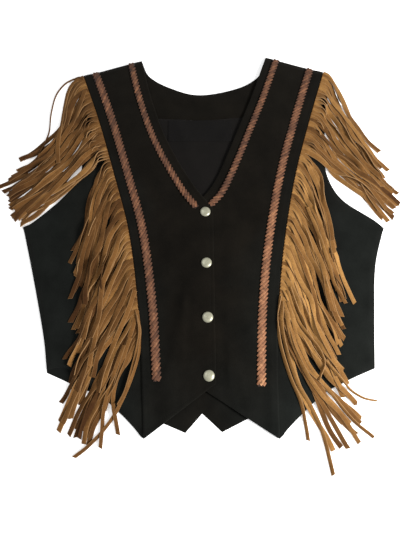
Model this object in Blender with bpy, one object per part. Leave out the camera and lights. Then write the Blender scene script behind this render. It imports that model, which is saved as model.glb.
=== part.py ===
"""Western vest of black suede, laid flat on its back.

Metres, +Z up, +Y towards the neck and +X to the right, seen from above.
The origin is on the floor, under the middle of the chest.
Left and right are the viewer's, and the left front laps over the right one.
"""

import math

import bmesh
import bpy
import numpy as np

MM = 0.001  # the sizes below are in millimetres

# Walls and the gap that pieces keep where they meet
WALL = 1.6
LINING_WALL = 1.0
LABEL_WALL = 0.8
GAP = 0.3

# How the pieces lap
SEAM_LAP = 4.0  # of a side panel under its centre panel
BACK_SHOWS = 1.5  # of the back outside a front's armhole
LINING_INSET = 29.0  # from the back's edge
SHOULDER_INSET = 14.0  # of the facing below the shoulder seams
FACING_SIDE = 24.0  # of the facing under each front

# How the fronts lie
ROLL = 8.0  # their outer edges come down to the back over this width
ROLL_STEP = 9.5  # the row of points next to such an edge
PUFF = 1.6  # the centre panels stand this much higher in their middle
PUFF_WIDTH = 40.0
LAP_EASE = 20.0  # a panel comes down again over this width past what it laps
OVER_MARGIN = 6.0  # the left front stays up this far past the right front's edge
PLACKET_MIDDLE = 2.0
PLACKET_FLAT = 20.0  # no fold reaches this near the placket's middle
FOLD_EASE = 12.0

# Braids, measured from the edge that they follow
YOKE_BRAID = {"left": (13.5, 27.0), "right": (15.5, 29.0)}
YOKE_STOP = {"left": 64.0, "right": 58.0}  # above the hem's point
NECK_BRAID = (13.0, 23.5)
NECK_STOP = {"left": 9.0, "right": 4.0}  # above the front's corner
BRAID_WALL = 1.6
PLACKET_BAND = 28.0

# Snaps
SNAP_RADIUS = 7.5
SNAP_HEIGHT = 3.1
SNAP_SIDES = 16
SNAP_COUNT = 4
SNAP_FIRST = (2.0, 34.8)
SNAP_LAST = (6.0, -199.9)

# Fringe
STRANDS = 66  # on each side
STRAND_WIDTH = 4.8
STRAND_WALL = 1.0
STRIP = 3.0  # the strip's width
STRIP_COLUMN = 4.0  # of the side panel under the strip
LAYER = 1.6  # from one layer of strands to the next
NARROWEST = 3.2  # a strand gives way to its neighbours down to this width
COMB = (5.2, 8.2)  # strands climb to their layer, then run on beside each other
FALL_STEPS = 5
STRAND_CLEAR = 0.3  # above the side panel, beside GAP
FLOOR_CLEAR = 0.6
SLOPE_WIDTH = 125.0  # over which the strands come down to the floor
SWAY = 3.0  # degrees

# Outlines of one side: across and up, in order from the shoulder down
EDGES = {
    "left": {
        "seam": (
            (-195, 274),
            (-164, 188),
            (-135, 94),
            (-109, 2),
            (-92, -105),
            (-84, -195),
            (-78.5, -279),
        ),
        "armhole": (
            (-206, 275),
            (-194, 208),
            (-188, 142),
            (-188, 98),
            (-211, 61),
            (-251, 22),
            (-266, 13),
        ),
        "side": ((-266, 13), (-243, -65), (-221, -146), (-212, -192)),
        "hem": ((-212, -192), (-187, -190), (-153, -213), (-109, -249), (-78.5, -279)),
        "neck": ((-102, 306), (-84, 233), (-59, 160), (-20, 86), (13.5, 40)),
        "placket": ((13.5, 40), (15.5, -210)),
    },
    "right": {
        "seam": (
            (195, 282),
            (164.5, 187),
            (137, 91),
            (115.5, -14),
            (103.5, -105),
            (98, -195),
            (96.5, -279),
        ),
        "armhole": (
            (206, 279),
            (194, 208),
            (186, 142),
            (187, 98),
            (206, 58),
            (250, 25),
            (264, 12),
        ),
        "side": ((264, 12), (246, -46), (237, -115), (229.5, -190)),
        "hem": ((229.5, -190), (196, -204), (161, -221), (121, -255), (96.5, -279)),
        "neck": ((103, 313), (79, 242), (57, 185), (18, 89), (-11, 49)),
        "placket": ((-11, 49), (-9, -213)),
    },
}
OUTWARD = {"left": -1.0, "right": 1.0}
BACK_NECK = ((-102, 306), (-89, 276), (-55, 254), (-6, 240), (58, 254), (93, 280), (103, 313))
BACK_HEM = (
    (-212, -196),
    (-186, -207),
    (-25, -272),
    (-3, -248),
    (23, -271),
    (56, -255),
    (160, -221),
    (196, -204),
)
FACING_LOW = ((-76, 197), (-6, 194), (64, 199))
FACING_PART = (0.05, 0.95)  # of the neckline, where the facing's ends are
LABEL = (-56.0, 44.0, 155.0, 192.0)  # left, right, low, high

# Rows of points down a front: those of the neck, of the placket and the last ones at the hem
UPPER_ROWS = 11
LOWER_ROWS = 9
HEM_ROWS = 3
CORNER_PART = 0.45  # of the seam's length, level with the corner of the neck
OUTER_CORNER = 0.5  # of the rows, where the armhole ends
HEM_PULL = 3  # how fast the rows take the hem's shape
INNER_COLUMNS = (0.25, 0.5, 0.75)  # across a panel, between its edges' columns
LEAST_SKEW = 0.3

# Points along the outlines of the back and of its facing
BACK_POINTS = {"neck": 17, "arm": 15, "flank": 7}
FACING_POINTS = {"neck": 15, "low": 7}

# Soft ridges in the fronts: both ends of each, its height and its half-width
FOLDS = (
    # from_x, from_y, to_x, to_y, height, half_width
    (-26, -105, -52, -245, 3.2, 13),
    (-56, -150, -70, -215, 1.4, 14),
    (-50, -256, -14, -232, 2.0, 10),
    (-79, -212, -78, -275, 1.4, 9),
    (-110, 200, -70, 60, 1.2, 22),
    (90, -175, 90, -262, 1.6, 8),
    (34, -165, 54, -240, 2.2, 13),
    (58, -60, 66, -190, 1.4, 16),
    (112, 215, 78, 70, 1.2, 22),
)

# How the strands fall. A lean is in degrees outwards from a straight fall, at the root, at one
# and two thirds of the strand and at its tip. Along is from the shoulder, reach the length.
FALLS = {
    "left": (
        # along, root_lean, upper_lean, lower_lean, tip_lean, reach
        (0, 88, -8, 10, -5, 172),
        (12, 58, 0, 36, 16, 180),
        (24, 44, 12, 47, 30, 198),
        (60, 34, 24, 40, 42, 192),
        (95, 28, 36, 38, 66, 192),
        (120, 28, 44, 48, 52, 186),
        (157, 26, 56, 48, 40, 150),
        (160, 60, 6, 0, 20, 188),
        (180, 32, 14, 5, 8, 186),
        (220, 15, 12, 15, 23, 188),
        (270, 11, 14, 18, 24, 202),
        (340, 10, 16, 18, 20, 216),
        (385, 6, 20, 17, 20, 196),
        (425, 4, 27, 26, 6, 170),
        (445, 9, 38, 16, -20, 140),
    ),
    "right": (
        (0, 55, 0, 26, 22, 198),
        (26, 50, 6, 24, 31, 230),
        (52, 40, 18, 26, 28, 230),
        (86, 46, 22, 30, 35, 210),
        (118, 48, 25, 34, 38, 198),
        (153, 54, 33, 42, 14, 174),
        (156, 72, 3, 6, -3, 166),
        (175, 44, 6, 8, 4, 164),
        (197, 29, 8, 8, 0, 192),
        (225, 25, 10, 8, 8, 206),
        (280, 19, 11, 13, 18, 186),
        (330, 12, 23, 24, 24, 230),
        (370, 9, 13, 29, 56, 236),
        (400, 8, 11, 28, 46, 212),
        (414, 7, 12, 24, 14, 226),
        (430, 7, 14, 25, 2, 176),
    ),
}
GROUP_SPLIT = {"left": 158.0, "right": 154.0}
FRINGE_LENGTH = {"left": 446.0, "right": 432.0}

# Colours as linear red, green and blue, then roughness and metallic
FINISHES = {
    "suede_black": ((0.012, 0.013, 0.012), 0.92, 0.0),
    "lining_black": ((0.018, 0.015, 0.014), 0.7, 0.0),
    "label_black": ((0.010, 0.010, 0.011), 0.55, 0.0),
    "suede_tan": ((0.40, 0.19, 0.065), 0.88, 0.0),
    "braid_brown": ((0.26, 0.085, 0.05), 0.75, 0.0),
    "snap_metal": ((0.55, 0.54, 0.46), 0.38, 1.0),
}


def clear_scene():
    for item in list(bpy.data.objects):
        bpy.data.objects.remove(item, do_unlink=True)


def material(name):
    found = bpy.data.materials.get(name)
    if found:
        return found
    colour, roughness, metallic = FINISHES[name]
    made = bpy.data.materials.new(name)
    made.use_nodes = True
    shader = made.node_tree.nodes["Principled BSDF"]
    shader.inputs["Base Color"].default_value = (*colour, 1.0)
    shader.inputs["Roughness"].default_value = roughness
    shader.inputs["Metallic"].default_value = metallic
    return made


def ease(x):
    """0 below 0, 1 above 1, and smooth between them."""
    x = np.clip(x, 0.0, 1.0)
    return x * x * (3.0 - 2.0 * x)


def smooth_curve(points, steps=12):
    """A Catmull-Rom curve through the points."""
    p = np.array(points, float)
    p = np.vstack([2 * p[0] - p[1], p, 2 * p[-1] - p[-2]])
    u = np.linspace(0, 1, steps, endpoint=False)[:, None]
    pieces = []
    for a, b, c, d in zip(p, p[1:], p[2:], p[3:]):
        bend = 2 * a - 5 * b + 4 * c - d
        pieces.append(0.5 * (2 * b + (c - a) * u + bend * u**2 + (3 * b - 3 * c + d - a) * u**3))
    return np.vstack(pieces + [p[-2:-1]])


def lengths(line):
    """The distance along a line to each of its points."""
    return np.concatenate([[0.0], np.cumsum(np.linalg.norm(np.diff(line, axis=0), axis=1))])


def points_at(line, distances):
    """The points at the given distances along a line."""
    own = lengths(line[:, :2])
    return np.stack([np.interp(distances, own, line[:, k]) for k in range(line.shape[1])], axis=1)


def points_part(line, parts):
    """The points at the given parts of a line's length, from 0 to 1."""
    return points_at(line, np.asarray(parts) * lengths(line[:, :2])[-1])


def distance(points, line):
    """How far each point is from a line."""
    start, run = line[:-1], np.diff(line, axis=0)
    away = points[:, None] - start
    t = np.clip((away * run).sum(2) / np.maximum((run * run).sum(1), 1e-9), 0, 1)
    return np.linalg.norm(away - t[..., None] * run, axis=2).min(1)


def inside(points, outline):
    """Which points lie inside a closed outline."""
    a, b = outline, np.roll(outline, -1, axis=0)
    x, y = points[:, :1], points[:, 1:2]
    spans = (a[:, 1] > y) != (b[:, 1] > y)
    rise = np.where(a[:, 1] == b[:, 1], 1.0, b[:, 1] - a[:, 1])
    crossing = a[:, 0] + (y - a[:, 1]) * (b[:, 0] - a[:, 0]) / rise
    return (spans & (x < crossing)).sum(1) % 2 == 1


def moved_out(outline, amount):
    """A closed outline that runs clockwise, moved out by amount."""
    before, after = np.roll(outline, 1, axis=0), np.roll(outline, -1, axis=0)
    first = (outline - before) / np.linalg.norm(outline - before, axis=1)[:, None]
    second = (after - outline) / np.linalg.norm(after - outline, axis=1)[:, None]
    normals = [np.stack([-d[:, 1], d[:, 0]], axis=1) for d in (first, second)]
    middle = normals[0] + normals[1]
    return outline + amount * middle / np.maximum((middle * normals[0]).sum(1), 0.5)[:, None]


def side_lines(side):
    """Each edge of one side as a smooth line, the hem and placket straight between their points."""
    lines = {name: smooth_curve(points) for name, points in EDGES[side].items()}
    lines["placket"] = np.array(EDGES[side]["placket"], float)
    lines["outer"] = np.vstack([lines["armhole"], lines["side"][1:], lines["hem"][1:]])
    lines["shoulder"] = np.array([lines["neck"][0], lines["armhole"][0]])
    return lines


LINES = {side: side_lines(side) for side in EDGES}


def fold_height(points):
    """The ridges' height over the middle of the wall."""
    total = np.zeros(len(points))
    for x0, y0, x1, y1, height, half_width in FOLDS:
        away = distance(points, np.array([(x0, y0), (x1, y1)], float))
        total += height * np.exp(-((away / half_width) ** 2))
    return total * ease((abs(points[:, 0] - PLACKET_MIDDLE) - PLACKET_FLAT) / FOLD_EASE)


def front_height(points, side):
    """The underside of a side panel: on the back at its edges and over the lining inside them."""
    lines = LINES[side]
    edge = np.minimum(distance(points, lines["outer"]), distance(points, lines["shoulder"]))
    held = ease(edge / ROLL)
    return WALL + GAP + held * (LINING_WALL + GAP + fold_height(points))


def center_height(points, side, from_seam):
    """The underside of a centre panel, which lies over its side panel and puffs in its middle."""
    inner = np.minimum(from_seam, distance(points, LINES[side]["shoulder"]))
    lap = (WALL + GAP) * (1 - ease((from_seam - SEAM_LAP) / LAP_EASE))
    height = front_height(points, side) + PUFF * ease(inner / PUFF_WIDTH) + lap
    if side == "left":
        under_edge = LINES["right"]["placket"][0, 0] - OVER_MARGIN
        height += (WALL + GAP) * (1 - ease((under_edge - points[:, 0]) / LAP_EASE))
    return height


def rolled_parts(count, length):
    """Parts of a line from 0 to 1, the first step just past the rolled edge."""
    return np.append(0.0, np.linspace(ROLL_STEP / length, 1, count - 1))


def row_parts(side):
    """For each row: its part of the neck or placket, and its part of the seam."""
    lines = LINES[side]
    neck, seam = lengths(lines["neck"])[-1], lengths(lines["seam"])[-1]
    stop = 1 - NECK_STOP[side] / neck
    upper = np.append(rolled_parts(UPPER_ROWS, neck) * stop, 1.0)
    low_stop = (1 - YOKE_STOP[side] / seam - CORNER_PART) / (1 - CORNER_PART)
    down = np.linspace(0, low_stop, LOWER_ROWS + 1)[1:]
    hem = 1 - rolled_parts(HEM_ROWS + 1, YOKE_STOP[side])[::-1] * (1 - low_stop)
    lower = np.append(down, hem[1:])
    seam = np.append(CORNER_PART * upper, CORNER_PART + (1 - CORNER_PART) * lower)
    return upper, lower, seam


def center_plan(side):
    """The centre panel's points in plan, rows by columns, and their distances from the seam."""
    lines = LINES[side]
    upper, lower, seam_parts = row_parts(side)
    seam = points_part(lines["seam"], seam_parts)
    front = np.vstack([points_part(lines["neck"], upper), points_part(lines["placket"], lower)])
    across = front - seam
    width = np.linalg.norm(across, axis=1)
    across /= width[:, None]
    skew = [abs((across * normals(line)).sum(1)) for line in (seam, front)]
    skew[1][len(upper) - 1] = skew[1][len(upper) - 2]
    band = np.where(np.arange(len(seam)) < UPPER_ROWS, NECK_BRAID[1], PLACKET_BAND)
    from_seam = [offset / skew[0] for offset in (0.0, SEAM_LAP, *YOKE_BRAID[side])]
    from_front = [width - offset / skew[1] for offset in (band, NECK_BRAID[0], 0.0)]
    middle = [from_seam[-1] + (from_front[0] - from_seam[-1]) * part for part in INNER_COLUMNS]
    columns = np.stack(np.broadcast_arrays(*from_seam, *middle, *from_front), axis=1)
    plan = seam[:, None] + columns[..., None] * across[:, None]
    return plan, columns * skew[0][:, None]


def normals(line):
    """A unit normal of a line at each of its points."""
    run = np.gradient(line, axis=0)
    run /= np.linalg.norm(run, axis=1)[:, None]
    return np.stack([-run[:, 1], run[:, 0]], axis=1)


def center_grid(side):
    """The underside of a centre panel, rows by columns."""
    plan, from_seam = center_plan(side)
    flat = plan.reshape(-1, 2)
    height = center_height(flat, side, from_seam.reshape(-1))
    return np.column_stack([flat, height]).reshape(*plan.shape[:2], 3)


def side_grid(side):
    """The underside of a side panel, rows by columns, from its outer edge to under its centre panel."""
    lines = LINES[side]
    center, _ = center_plan(side)
    seam, lap = center[:, 0], center[:, 1]
    count = len(seam)
    arm_rows = int(count * OUTER_CORNER)
    arm = points_part(lines["armhole"], rolled_parts(arm_rows, lengths(lines["armhole"])[-1]))
    down = 1 - rolled_parts(count - arm_rows + 1, lengths(lines["side"])[-1])[::-1]
    outer = np.vstack([arm, points_part(lines["side"], down[1:])])
    across = seam - outer
    width = np.linalg.norm(across, axis=1)
    across /= width[:, None]
    strip = width - STRIP_COLUMN
    skew = np.maximum(abs((across * normals(outer)).sum(1)), LEAST_SKEW)
    roll = np.minimum(ROLL / skew, INNER_COLUMNS[1] * strip)
    inner = [roll + (strip - roll) * part for part in INNER_COLUMNS]
    columns = np.stack([np.zeros(count), roll, *inner, strip, width], axis=1)
    plan = outer[:, None] + columns[..., None] * across[:, None]
    hem = points_part(lines["hem"], columns[-1] / width[-1])
    low = np.append(np.zeros(arm_rows), down[1:]) ** HEM_PULL
    shift = (hem - plan[-1])[None] * low[:, None, None]
    plan[:, :-2] += shift[:, :-2]
    plan = np.concatenate([plan, lap[:, None]], axis=1)
    flat = plan.reshape(-1, 2)
    return np.column_stack([flat, front_height(flat, side)]).reshape(*plan.shape[:2], 3)


def add_object(name, vertices, faces, finish, round_angle=None):
    """One object from points in millimetres, its faces turned out."""
    mesh = bpy.data.meshes.new(name)
    mesh.from_pydata([tuple(v) for v in np.asarray(vertices) * MM], [], faces)
    work = bmesh.new()
    work.from_mesh(mesh)
    bmesh.ops.recalc_face_normals(work, faces=work.faces)
    work.to_mesh(mesh)
    work.free()
    if round_angle:
        mesh.shade_smooth()
        mesh.set_sharp_from_angle(angle=math.radians(round_angle))
    mesh.materials.append(material(finish))
    made = bpy.data.objects.new(name, mesh)
    bpy.context.scene.collection.objects.link(made)
    return made


def panel(name, under, wall, finish):
    """A wall on a grid of points: rows down the body, columns towards the front edge."""
    rows, columns = under.shape[:2]
    count = rows * columns
    low = under.reshape(-1, 3)
    vertices = np.vstack([low, low + (0, 0, wall)])
    faces = []
    for row in range(rows - 1):
        for column in range(columns - 1):
            a = row * columns + column
            b, c, d = a + 1, a + columns, a + columns + 1
            faces += [(a, d, b), (a, c, d)]
            faces += [(count + a, count + b, count + d), (count + a, count + d, count + c)]
    index = np.arange(count).reshape(rows, columns)
    rim = [*index[0], *index[1:, -1], *index[-1, -2::-1], *index[-2:0:-1, 0]]
    for a, b in zip(rim, rim[1:] + rim[:1]):
        faces.append((int(a), int(b), int(count + b), int(count + a)))
    return add_object(name, vertices, faces, finish)


def flat_sheet(name, outline, bottom, wall, finish):
    """A flat wall with the given outline."""
    count = len(outline)
    low = np.column_stack([outline, np.full(count, bottom)])
    faces = [tuple(range(count)), tuple(range(count, 2 * count))]
    for a in range(count):
        b = (a + 1) % count
        faces.append((a, b, count + b, count + a))
    return add_object(name, np.vstack([low, low + (0, 0, wall)]), faces, finish)


def back_outline():
    """The back's outline, clockwise from the left neck point."""
    sides = {}
    for side, lines in LINES.items():
        shift = OUTWARD[side] * BACK_SHOWS
        arm = points_part(lines["armhole"], np.linspace(0, 1, BACK_POINTS["arm"])) + (shift, 0)
        flank = points_part(lines["side"], np.linspace(0, 1, BACK_POINTS["flank"]))[1:] + (shift / 2, 0)
        sides[side] = np.vstack([arm, flank])
    neck = points_part(smooth_curve(BACK_NECK), np.linspace(0, 1, BACK_POINTS["neck"]))
    hem = np.array(BACK_HEM, float)[::-1]
    return np.vstack([neck, sides["right"], hem, sides["left"][::-1]])


def facing_outline():
    """The facing's outline, clockwise: the neckline, then under the fronts and along its lower edge."""
    neck = points_part(smooth_curve(BACK_NECK), np.linspace(*FACING_PART, FACING_POINTS["neck"]))
    low = points_part(smooth_curve(FACING_LOW), np.linspace(1, 0, FACING_POINTS["low"]))
    right, left = neck[-1], neck[0]
    down = np.array((0.0, -SHOULDER_INSET))
    out = np.array((FACING_SIDE, 0.0))
    right_side = np.array([right + out + down, low[0] + out])
    left_side = np.array([low[-1] - out, left - out + down])
    return np.vstack([neck, right_side, low, left_side])


def lining_outline():
    """The lining's outline, clockwise: below the facing, up its sides and inside the back's edge."""
    facing = moved_out(facing_outline(), GAP)[FACING_POINTS["neck"] :][::-1]
    right_end = BACK_POINTS["neck"] + BACK_POINTS["arm"] + BACK_POINTS["flank"] - 1
    without_hem = np.delete(back_outline(), range(right_end, right_end + len(BACK_HEM)), axis=0)
    outer = moved_out(without_hem, -LINING_INSET)[BACK_POINTS["neck"] + 1 : -1]
    return np.vstack([facing, outer])


def turned_cap(name, center, bottom):
    """A snap's domed cap."""
    profile = ((1.0, 0.0), (1.0, 0.3), (0.86, 0.68), (0.5, 0.93), (0.15, 1.0))
    angles = np.linspace(0, 2 * math.pi, SNAP_SIDES, endpoint=False)
    circle = np.stack([np.cos(angles), np.sin(angles)], axis=1)
    rings = []
    for radius, height in profile:
        plan = np.array(center) + circle * radius * SNAP_RADIUS
        rings.append(np.column_stack([plan, np.full(SNAP_SIDES, bottom + height * SNAP_HEIGHT)]))
    top = SNAP_SIDES * (len(rings) - 1)
    faces = [tuple(range(SNAP_SIDES)), tuple(range(top, top + SNAP_SIDES))]
    for ring in range(len(rings) - 1):
        for a in range(SNAP_SIDES):
            b = (a + 1) % SNAP_SIDES
            low, high = ring * SNAP_SIDES, (ring + 1) * SNAP_SIDES
            faces.append((low + a, low + b, high + b, high + a))
    return add_object(name, np.vstack(rings), faces, "snap_metal", round_angle=50)


def strand_floor(points, side):
    """What the lowest strands lie on: the side panel, then a long slope down to the floor."""
    lines = LINES[side]
    over = WALL + GAP + LINING_WALL + GAP + WALL + GAP + STRAND_CLEAR
    outline = np.vstack([lines["outer"], lines["seam"][::-1]])
    outside = np.where(inside(points, outline), 0.0, distance(points, lines["outer"]))
    drop = ease(outside / SLOPE_WIDTH)
    return FLOOR_CLEAR + (over - FLOOR_CLEAR + fold_height(points)) * (1 - drop)


def fall_at(side, along):
    """A strand's leans and reach, between the rows of its group."""
    rows = np.array(FALLS[side], float)
    upper = rows[:, 0] < GROUP_SPLIT[side]
    group = rows[upper] if along < GROUP_SPLIT[side] else rows[~upper]
    return [np.interp(along, group[:, 0], group[:, k]) for k in range(1, 6)]


def strand_path(root, outward, leans, reach, side):
    """The plan points of one strand, square out of the strip and then falling."""
    points = [root, *(root + outward * step for step in COMB)]
    step = (reach - COMB[-1]) / FALL_STEPS
    for number in range(FALL_STEPS):
        part = (number + 0.5) / FALL_STEPS
        lean = math.radians(np.interp(part, (0, 1 / 3, 2 / 3, 1), leans))
        heading = np.array((OUTWARD[side] * math.sin(lean), -math.cos(lean)))
        points.append(points[-1] + heading * step)
    return np.array(points)


def near_others(path, others, step=4.0):
    """At each point of a strand, how near the others come to it between its two neighbouring points."""
    if not others:
        return np.full(len(path), np.inf)
    own = lengths(path)
    places = np.arange(0.0, own[-1] + step, step)
    dense = points_at(path, places)
    near = np.min([distance(dense, other) for other in others], axis=0)
    low, high = np.append(0.0, own[:-1]), np.append(own[1:], own[-1])
    return np.array([near[(places > a - step) & (places < b + step)].min() for a, b in zip(low, high)])


def layered(paths):
    """Each strand's layer, the lowest that has room for it, and its half-widths."""
    layers = []
    result = []
    for path in paths:
        for number in range(len(layers) + 1):
            if number == len(layers):
                layers.append([])
            near = near_others(path, layers[number])
            if near.min() >= NARROWEST + GAP:
                break
        layers[number].append(path)
        result.append(number)
    widths = []
    for path, number in zip(paths, result):
        near = near_others(path, [other for other in layers[number] if other is not path])
        widths.append(np.minimum(STRAND_WIDTH, near - GAP) / 2)
    return result, widths


def fringe(name, side, grid):
    """The strip beside the seam and the strands that hang from it, one closed body."""
    seam, beside = grid[:, -2], grid[:, -3]
    pitch = FRINGE_LENGTH[side] / STRANDS
    random = np.random.default_rng(7 if side == "left" else 11)
    roots = (np.arange(STRANDS) + 0.5) * pitch
    ends = np.stack([roots - STRAND_WIDTH / 2, roots + STRAND_WIDTH / 2], axis=1).reshape(-1)
    stations = np.concatenate([[0.0], ends, [FRINGE_LENGTH[side]]])
    edge = points_at(seam, stations)
    total = lengths(seam[:, :2])
    far = np.stack([np.interp(stations, total, beside[:, k]) for k in range(3)], axis=1)
    base = np.array((0.0, 0.0, WALL + GAP))
    inner = edge + (far - edge) * GAP / STRIP_COLUMN + base
    outer = edge + (far - edge) * (GAP + STRIP) / STRIP_COLUMN + base
    rise = np.array((0.0, 0.0, STRAND_WALL))
    vertices = [*np.stack([inner, inner + rise, outer, outer + rise], axis=1).reshape(-1, 3)]
    faces = [(0, 2, 3, 1)]
    paths = []
    for number, along in enumerate(roots):
        first = 1 + 2 * number
        root = (outer[first] + outer[first + 1]) / 2
        outward = (far - edge)[first, :2] / np.linalg.norm((far - edge)[first, :2])
        *leans, reach = fall_at(side, along)
        sway = random.uniform(-SWAY, SWAY)
        leans = [lean + sway for lean in leans]
        paths.append(strand_path(root[:2], outward, leans, reach, side))
    layers, halves = layered(paths)
    for number, path in enumerate(paths):
        first = 1 + 2 * number
        a, b = 4 * first, 4 * (first + 1)
        last = [a + 2, b + 2, b + 3, a + 3]
        height = strand_floor(path, side) + layers[number] * LAYER
        run = np.gradient(path, axis=0)
        run /= np.linalg.norm(run, axis=1)[:, None]
        upper_side = np.stack([run[:, 1], -run[:, 0]], axis=1) * -OUTWARD[side]
        for point, half, z, lateral in list(zip(path, halves[number], height, upper_side))[1:]:
            near, off = point + lateral * half, point - lateral * half
            ring = [len(vertices) + k for k in range(4)]
            vertices += [np.array((*near, z)), np.array((*off, z))]
            vertices += [np.array((*off, z + STRAND_WALL)), np.array((*near, z + STRAND_WALL))]
            faces += [(last[0], last[1], ring[1]), (last[0], ring[1], ring[0])]
            faces += [(last[3], last[2], ring[2]), (last[3], ring[2], ring[3])]
            faces += [(last[1], last[2], ring[2], ring[1]), (last[3], last[0], ring[0], ring[3])]
            last = ring
        faces.append(tuple(last))
    for station in range(len(stations) - 1):
        a, b = 4 * station, 4 * (station + 1)
        faces += [(a, b, b + 2, a + 2), (a + 1, a + 3, b + 3, b + 1), (a, a + 1, b + 1, b)]
        if station % 2 == 0:
            faces.append((a + 2, b + 2, b + 3, a + 3))
    end = 4 * (len(stations) - 1)
    faces.append((end, end + 1, end + 3, end + 2))
    return add_object(name, vertices, faces, "suede_tan")


def build_back():
    flat_sheet("back", back_outline(), 0.0, WALL, "suede_black")
    inside_back = WALL + GAP
    flat_sheet("back_neck_facing", facing_outline(), inside_back, LINING_WALL, "suede_black")
    flat_sheet("back_lining", lining_outline(), inside_back, LINING_WALL, "lining_black")
    left, right, low, high = LABEL
    label = np.array([(left, high), (right, high), (right, low), (left, low)], float)
    flat_sheet("neck_label", label, inside_back + LINING_WALL + GAP, LABEL_WALL, "label_black")


def build_front(side):
    """One front: its two panels, its two braids and its fringe."""
    center = center_grid(side)
    outer = side_grid(side)
    panel(f"front_{side}_center", center, WALL, "suede_black")
    panel(f"front_{side}_side", outer, WALL, "suede_black")
    on_top = center + (0, 0, WALL + GAP)
    yoke_rows = UPPER_ROWS + 1 + LOWER_ROWS
    panel(f"trim_yoke_{side}", on_top[:yoke_rows, 2:4], BRAID_WALL, "braid_brown")
    panel(f"trim_neck_{side}", on_top[:UPPER_ROWS, -3:-1], BRAID_WALL, "braid_brown")
    fringe(f"fringe_{side}", side, outer)


def build_snaps():
    flat_part = np.array([SNAP_FIRST], float)
    bottom = center_height(flat_part, "left", np.array([PUFF_WIDTH * 2]))[0] + WALL + GAP
    for number, part in enumerate(np.linspace(0, 1, SNAP_COUNT)):
        center = np.array(SNAP_FIRST) + (np.array(SNAP_LAST) - SNAP_FIRST) * part
        turned_cap(f"snap_{number + 1}", center, bottom)


clear_scene()
build_back()
for name in EDGES:
    build_front(name)
build_snaps()
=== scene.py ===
"""Western vest of black suede with tan fringe, laid flat, seen from above.

Metres in the scene; the sizes below are in millimetres and shared with the frame's solids.
"""

import math

import bmesh
import bpy
import numpy as np
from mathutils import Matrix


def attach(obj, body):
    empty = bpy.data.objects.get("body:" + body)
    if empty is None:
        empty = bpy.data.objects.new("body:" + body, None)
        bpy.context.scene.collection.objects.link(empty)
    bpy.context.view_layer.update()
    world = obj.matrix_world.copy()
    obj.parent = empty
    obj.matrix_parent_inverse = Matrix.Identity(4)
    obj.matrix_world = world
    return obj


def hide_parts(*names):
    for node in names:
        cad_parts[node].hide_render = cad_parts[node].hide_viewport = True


MM = 0.001

# Stage
CAMERA_PLACE = (-0.0059, -0.2230, 0.6150)
CAMERA_TILT = 16.0
CAMERA_LENS = 30.0
SENSOR_WIDTH = 36.0
WHITE = (1.0, 1.0, 1.0, 1.0)
FLOOR_HALF = 4.0
FLOOR_COLOUR = (0.94, 0.94, 0.94, 1.0)
FLOOR_GLOW = 0.36
SKY_STRENGTH = 0.5
LIGHTS = (
    # name, place, size, power, colour
    ("key", (0.85, -0.42, 0.7), 0.4, 24.5, (1.0, 0.985, 0.955)),
    ("fill", (-0.9, 0.5, 1.5), 1.2, 6.5, (0.97, 0.985, 1.0)),
)

# Walls and gaps
WALL = 1.6
LINING_WALL = 1.0
LABEL_WALL = 0.8
GAP = 0.3
SEAM_LAP = 4.0
BACK_SHOWS = 1.5
LINING_INSET = 29.0
SHOULDER_INSET = 14.0
FACING_SIDE = 24.0
ROLL = 8.0
PUFF = 1.6
PUFF_WIDTH = 40.0
LAP_EASE = 20.0
OVER_MARGIN = 6.0
PLACKET_MIDDLE = 2.0
PLACKET_FLAT = 20.0
FOLD_EASE = 12.0
HEM_EASE = 12.0
OPEN_FROM = 4.0  # from the fronts' necklines to where the lining is free to crease
OPEN_EASE = 16.0
RIPPLES = (
    # height, size, seed
    (0.9, 70.0, 5),
    (0.35, 24.0, 6),
)

# How close together the points of lines and panels are
CURVE_STEPS = 12  # from one given point of a curve to the next
LINE_STEP = 3.0
FINE_STEP = 2.0
ROOT_STEP = 1.0
ROW_STEP = 4.0
COLUMN_STEP = 3.6
SIDE_COLUMNS = 42
ARM_STEP = 6.0
FLANK_STEP = 8.0
NECK_STEP = 5.0
NECK_TRIM = 3
FACING_POINTS = 45
FACING_LOW_POINTS = 24

# Angles in degrees above which an edge is sharp
SHARP = 60.0
STRAND_SHARP = 40.0
SNAP_SHARP = 50.0

# Braids
YOKE_BRAID = {"left": (13.3, 26.6), "right": (15.5, 28.6)}
YOKE_STOP = {"left": 64.0, "right": 58.0}
NECK_BRAID = (12.7, 23.9)
NECK_STOP = {"left": 3.0, "right": 1.0}  # the laces run on past the frame's braids
NECK_PAST = {"left": 0.0, "right": 4.0}
LACE_SLANT = 2.7  # how far a lace runs along the braid while it crosses half its width
LACE_PITCH = 6.1
LACE_FILL = 1.18  # more than 1 makes the laces overlap
LACE_SIDES = 8
LACE_RINGS = 12
LACE_FEWEST = 4  # rings that a lace cut short has at least
LACE_INSET = 0.9  # of a lace's middle line from the braid's edges
LACE_END = 0.4  # from the braid's ends to the nearest ring of a lace
LACE_RISE = 1.2
LACE_ARCH = 0.7  # less than 1 makes a lace rise steeply at its ends
LACE_NARROW = 0.6  # its width at its ends, in parts of its full width
LACE_WALL = 0.62
# Painted light and shade on the laces: lighter where they stand high and on their tops, darker on their
# undersides.
LACE_PAINTED_HIGHLIGHT = 0.16  # how much lighter a lace is where it stands high
LACE_PAINTED_SHADING = 0.14  # how much darker its sides are
LACE_UNEVEN = 0.06
BAND_INSET = 2.0
BAND_WALL = 0.8
# Painted shade: the band is dark where it shows in the gaps between the laces.
BAND_TONE = 0.10
# Painted light: the braids grow lighter toward the lower right, most of all the right yoke braid toward
# its foot, standing in for the light from that side.
BRAID_TONE = {  # at its top and at its foot
    "trim_yoke_left": (0.12, 0.17),
    "trim_yoke_right": (0.10, 0.42),
    "trim_neck_left": (0.13, 0.14),
    "trim_neck_right": (0.14, 0.12),
}

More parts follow.
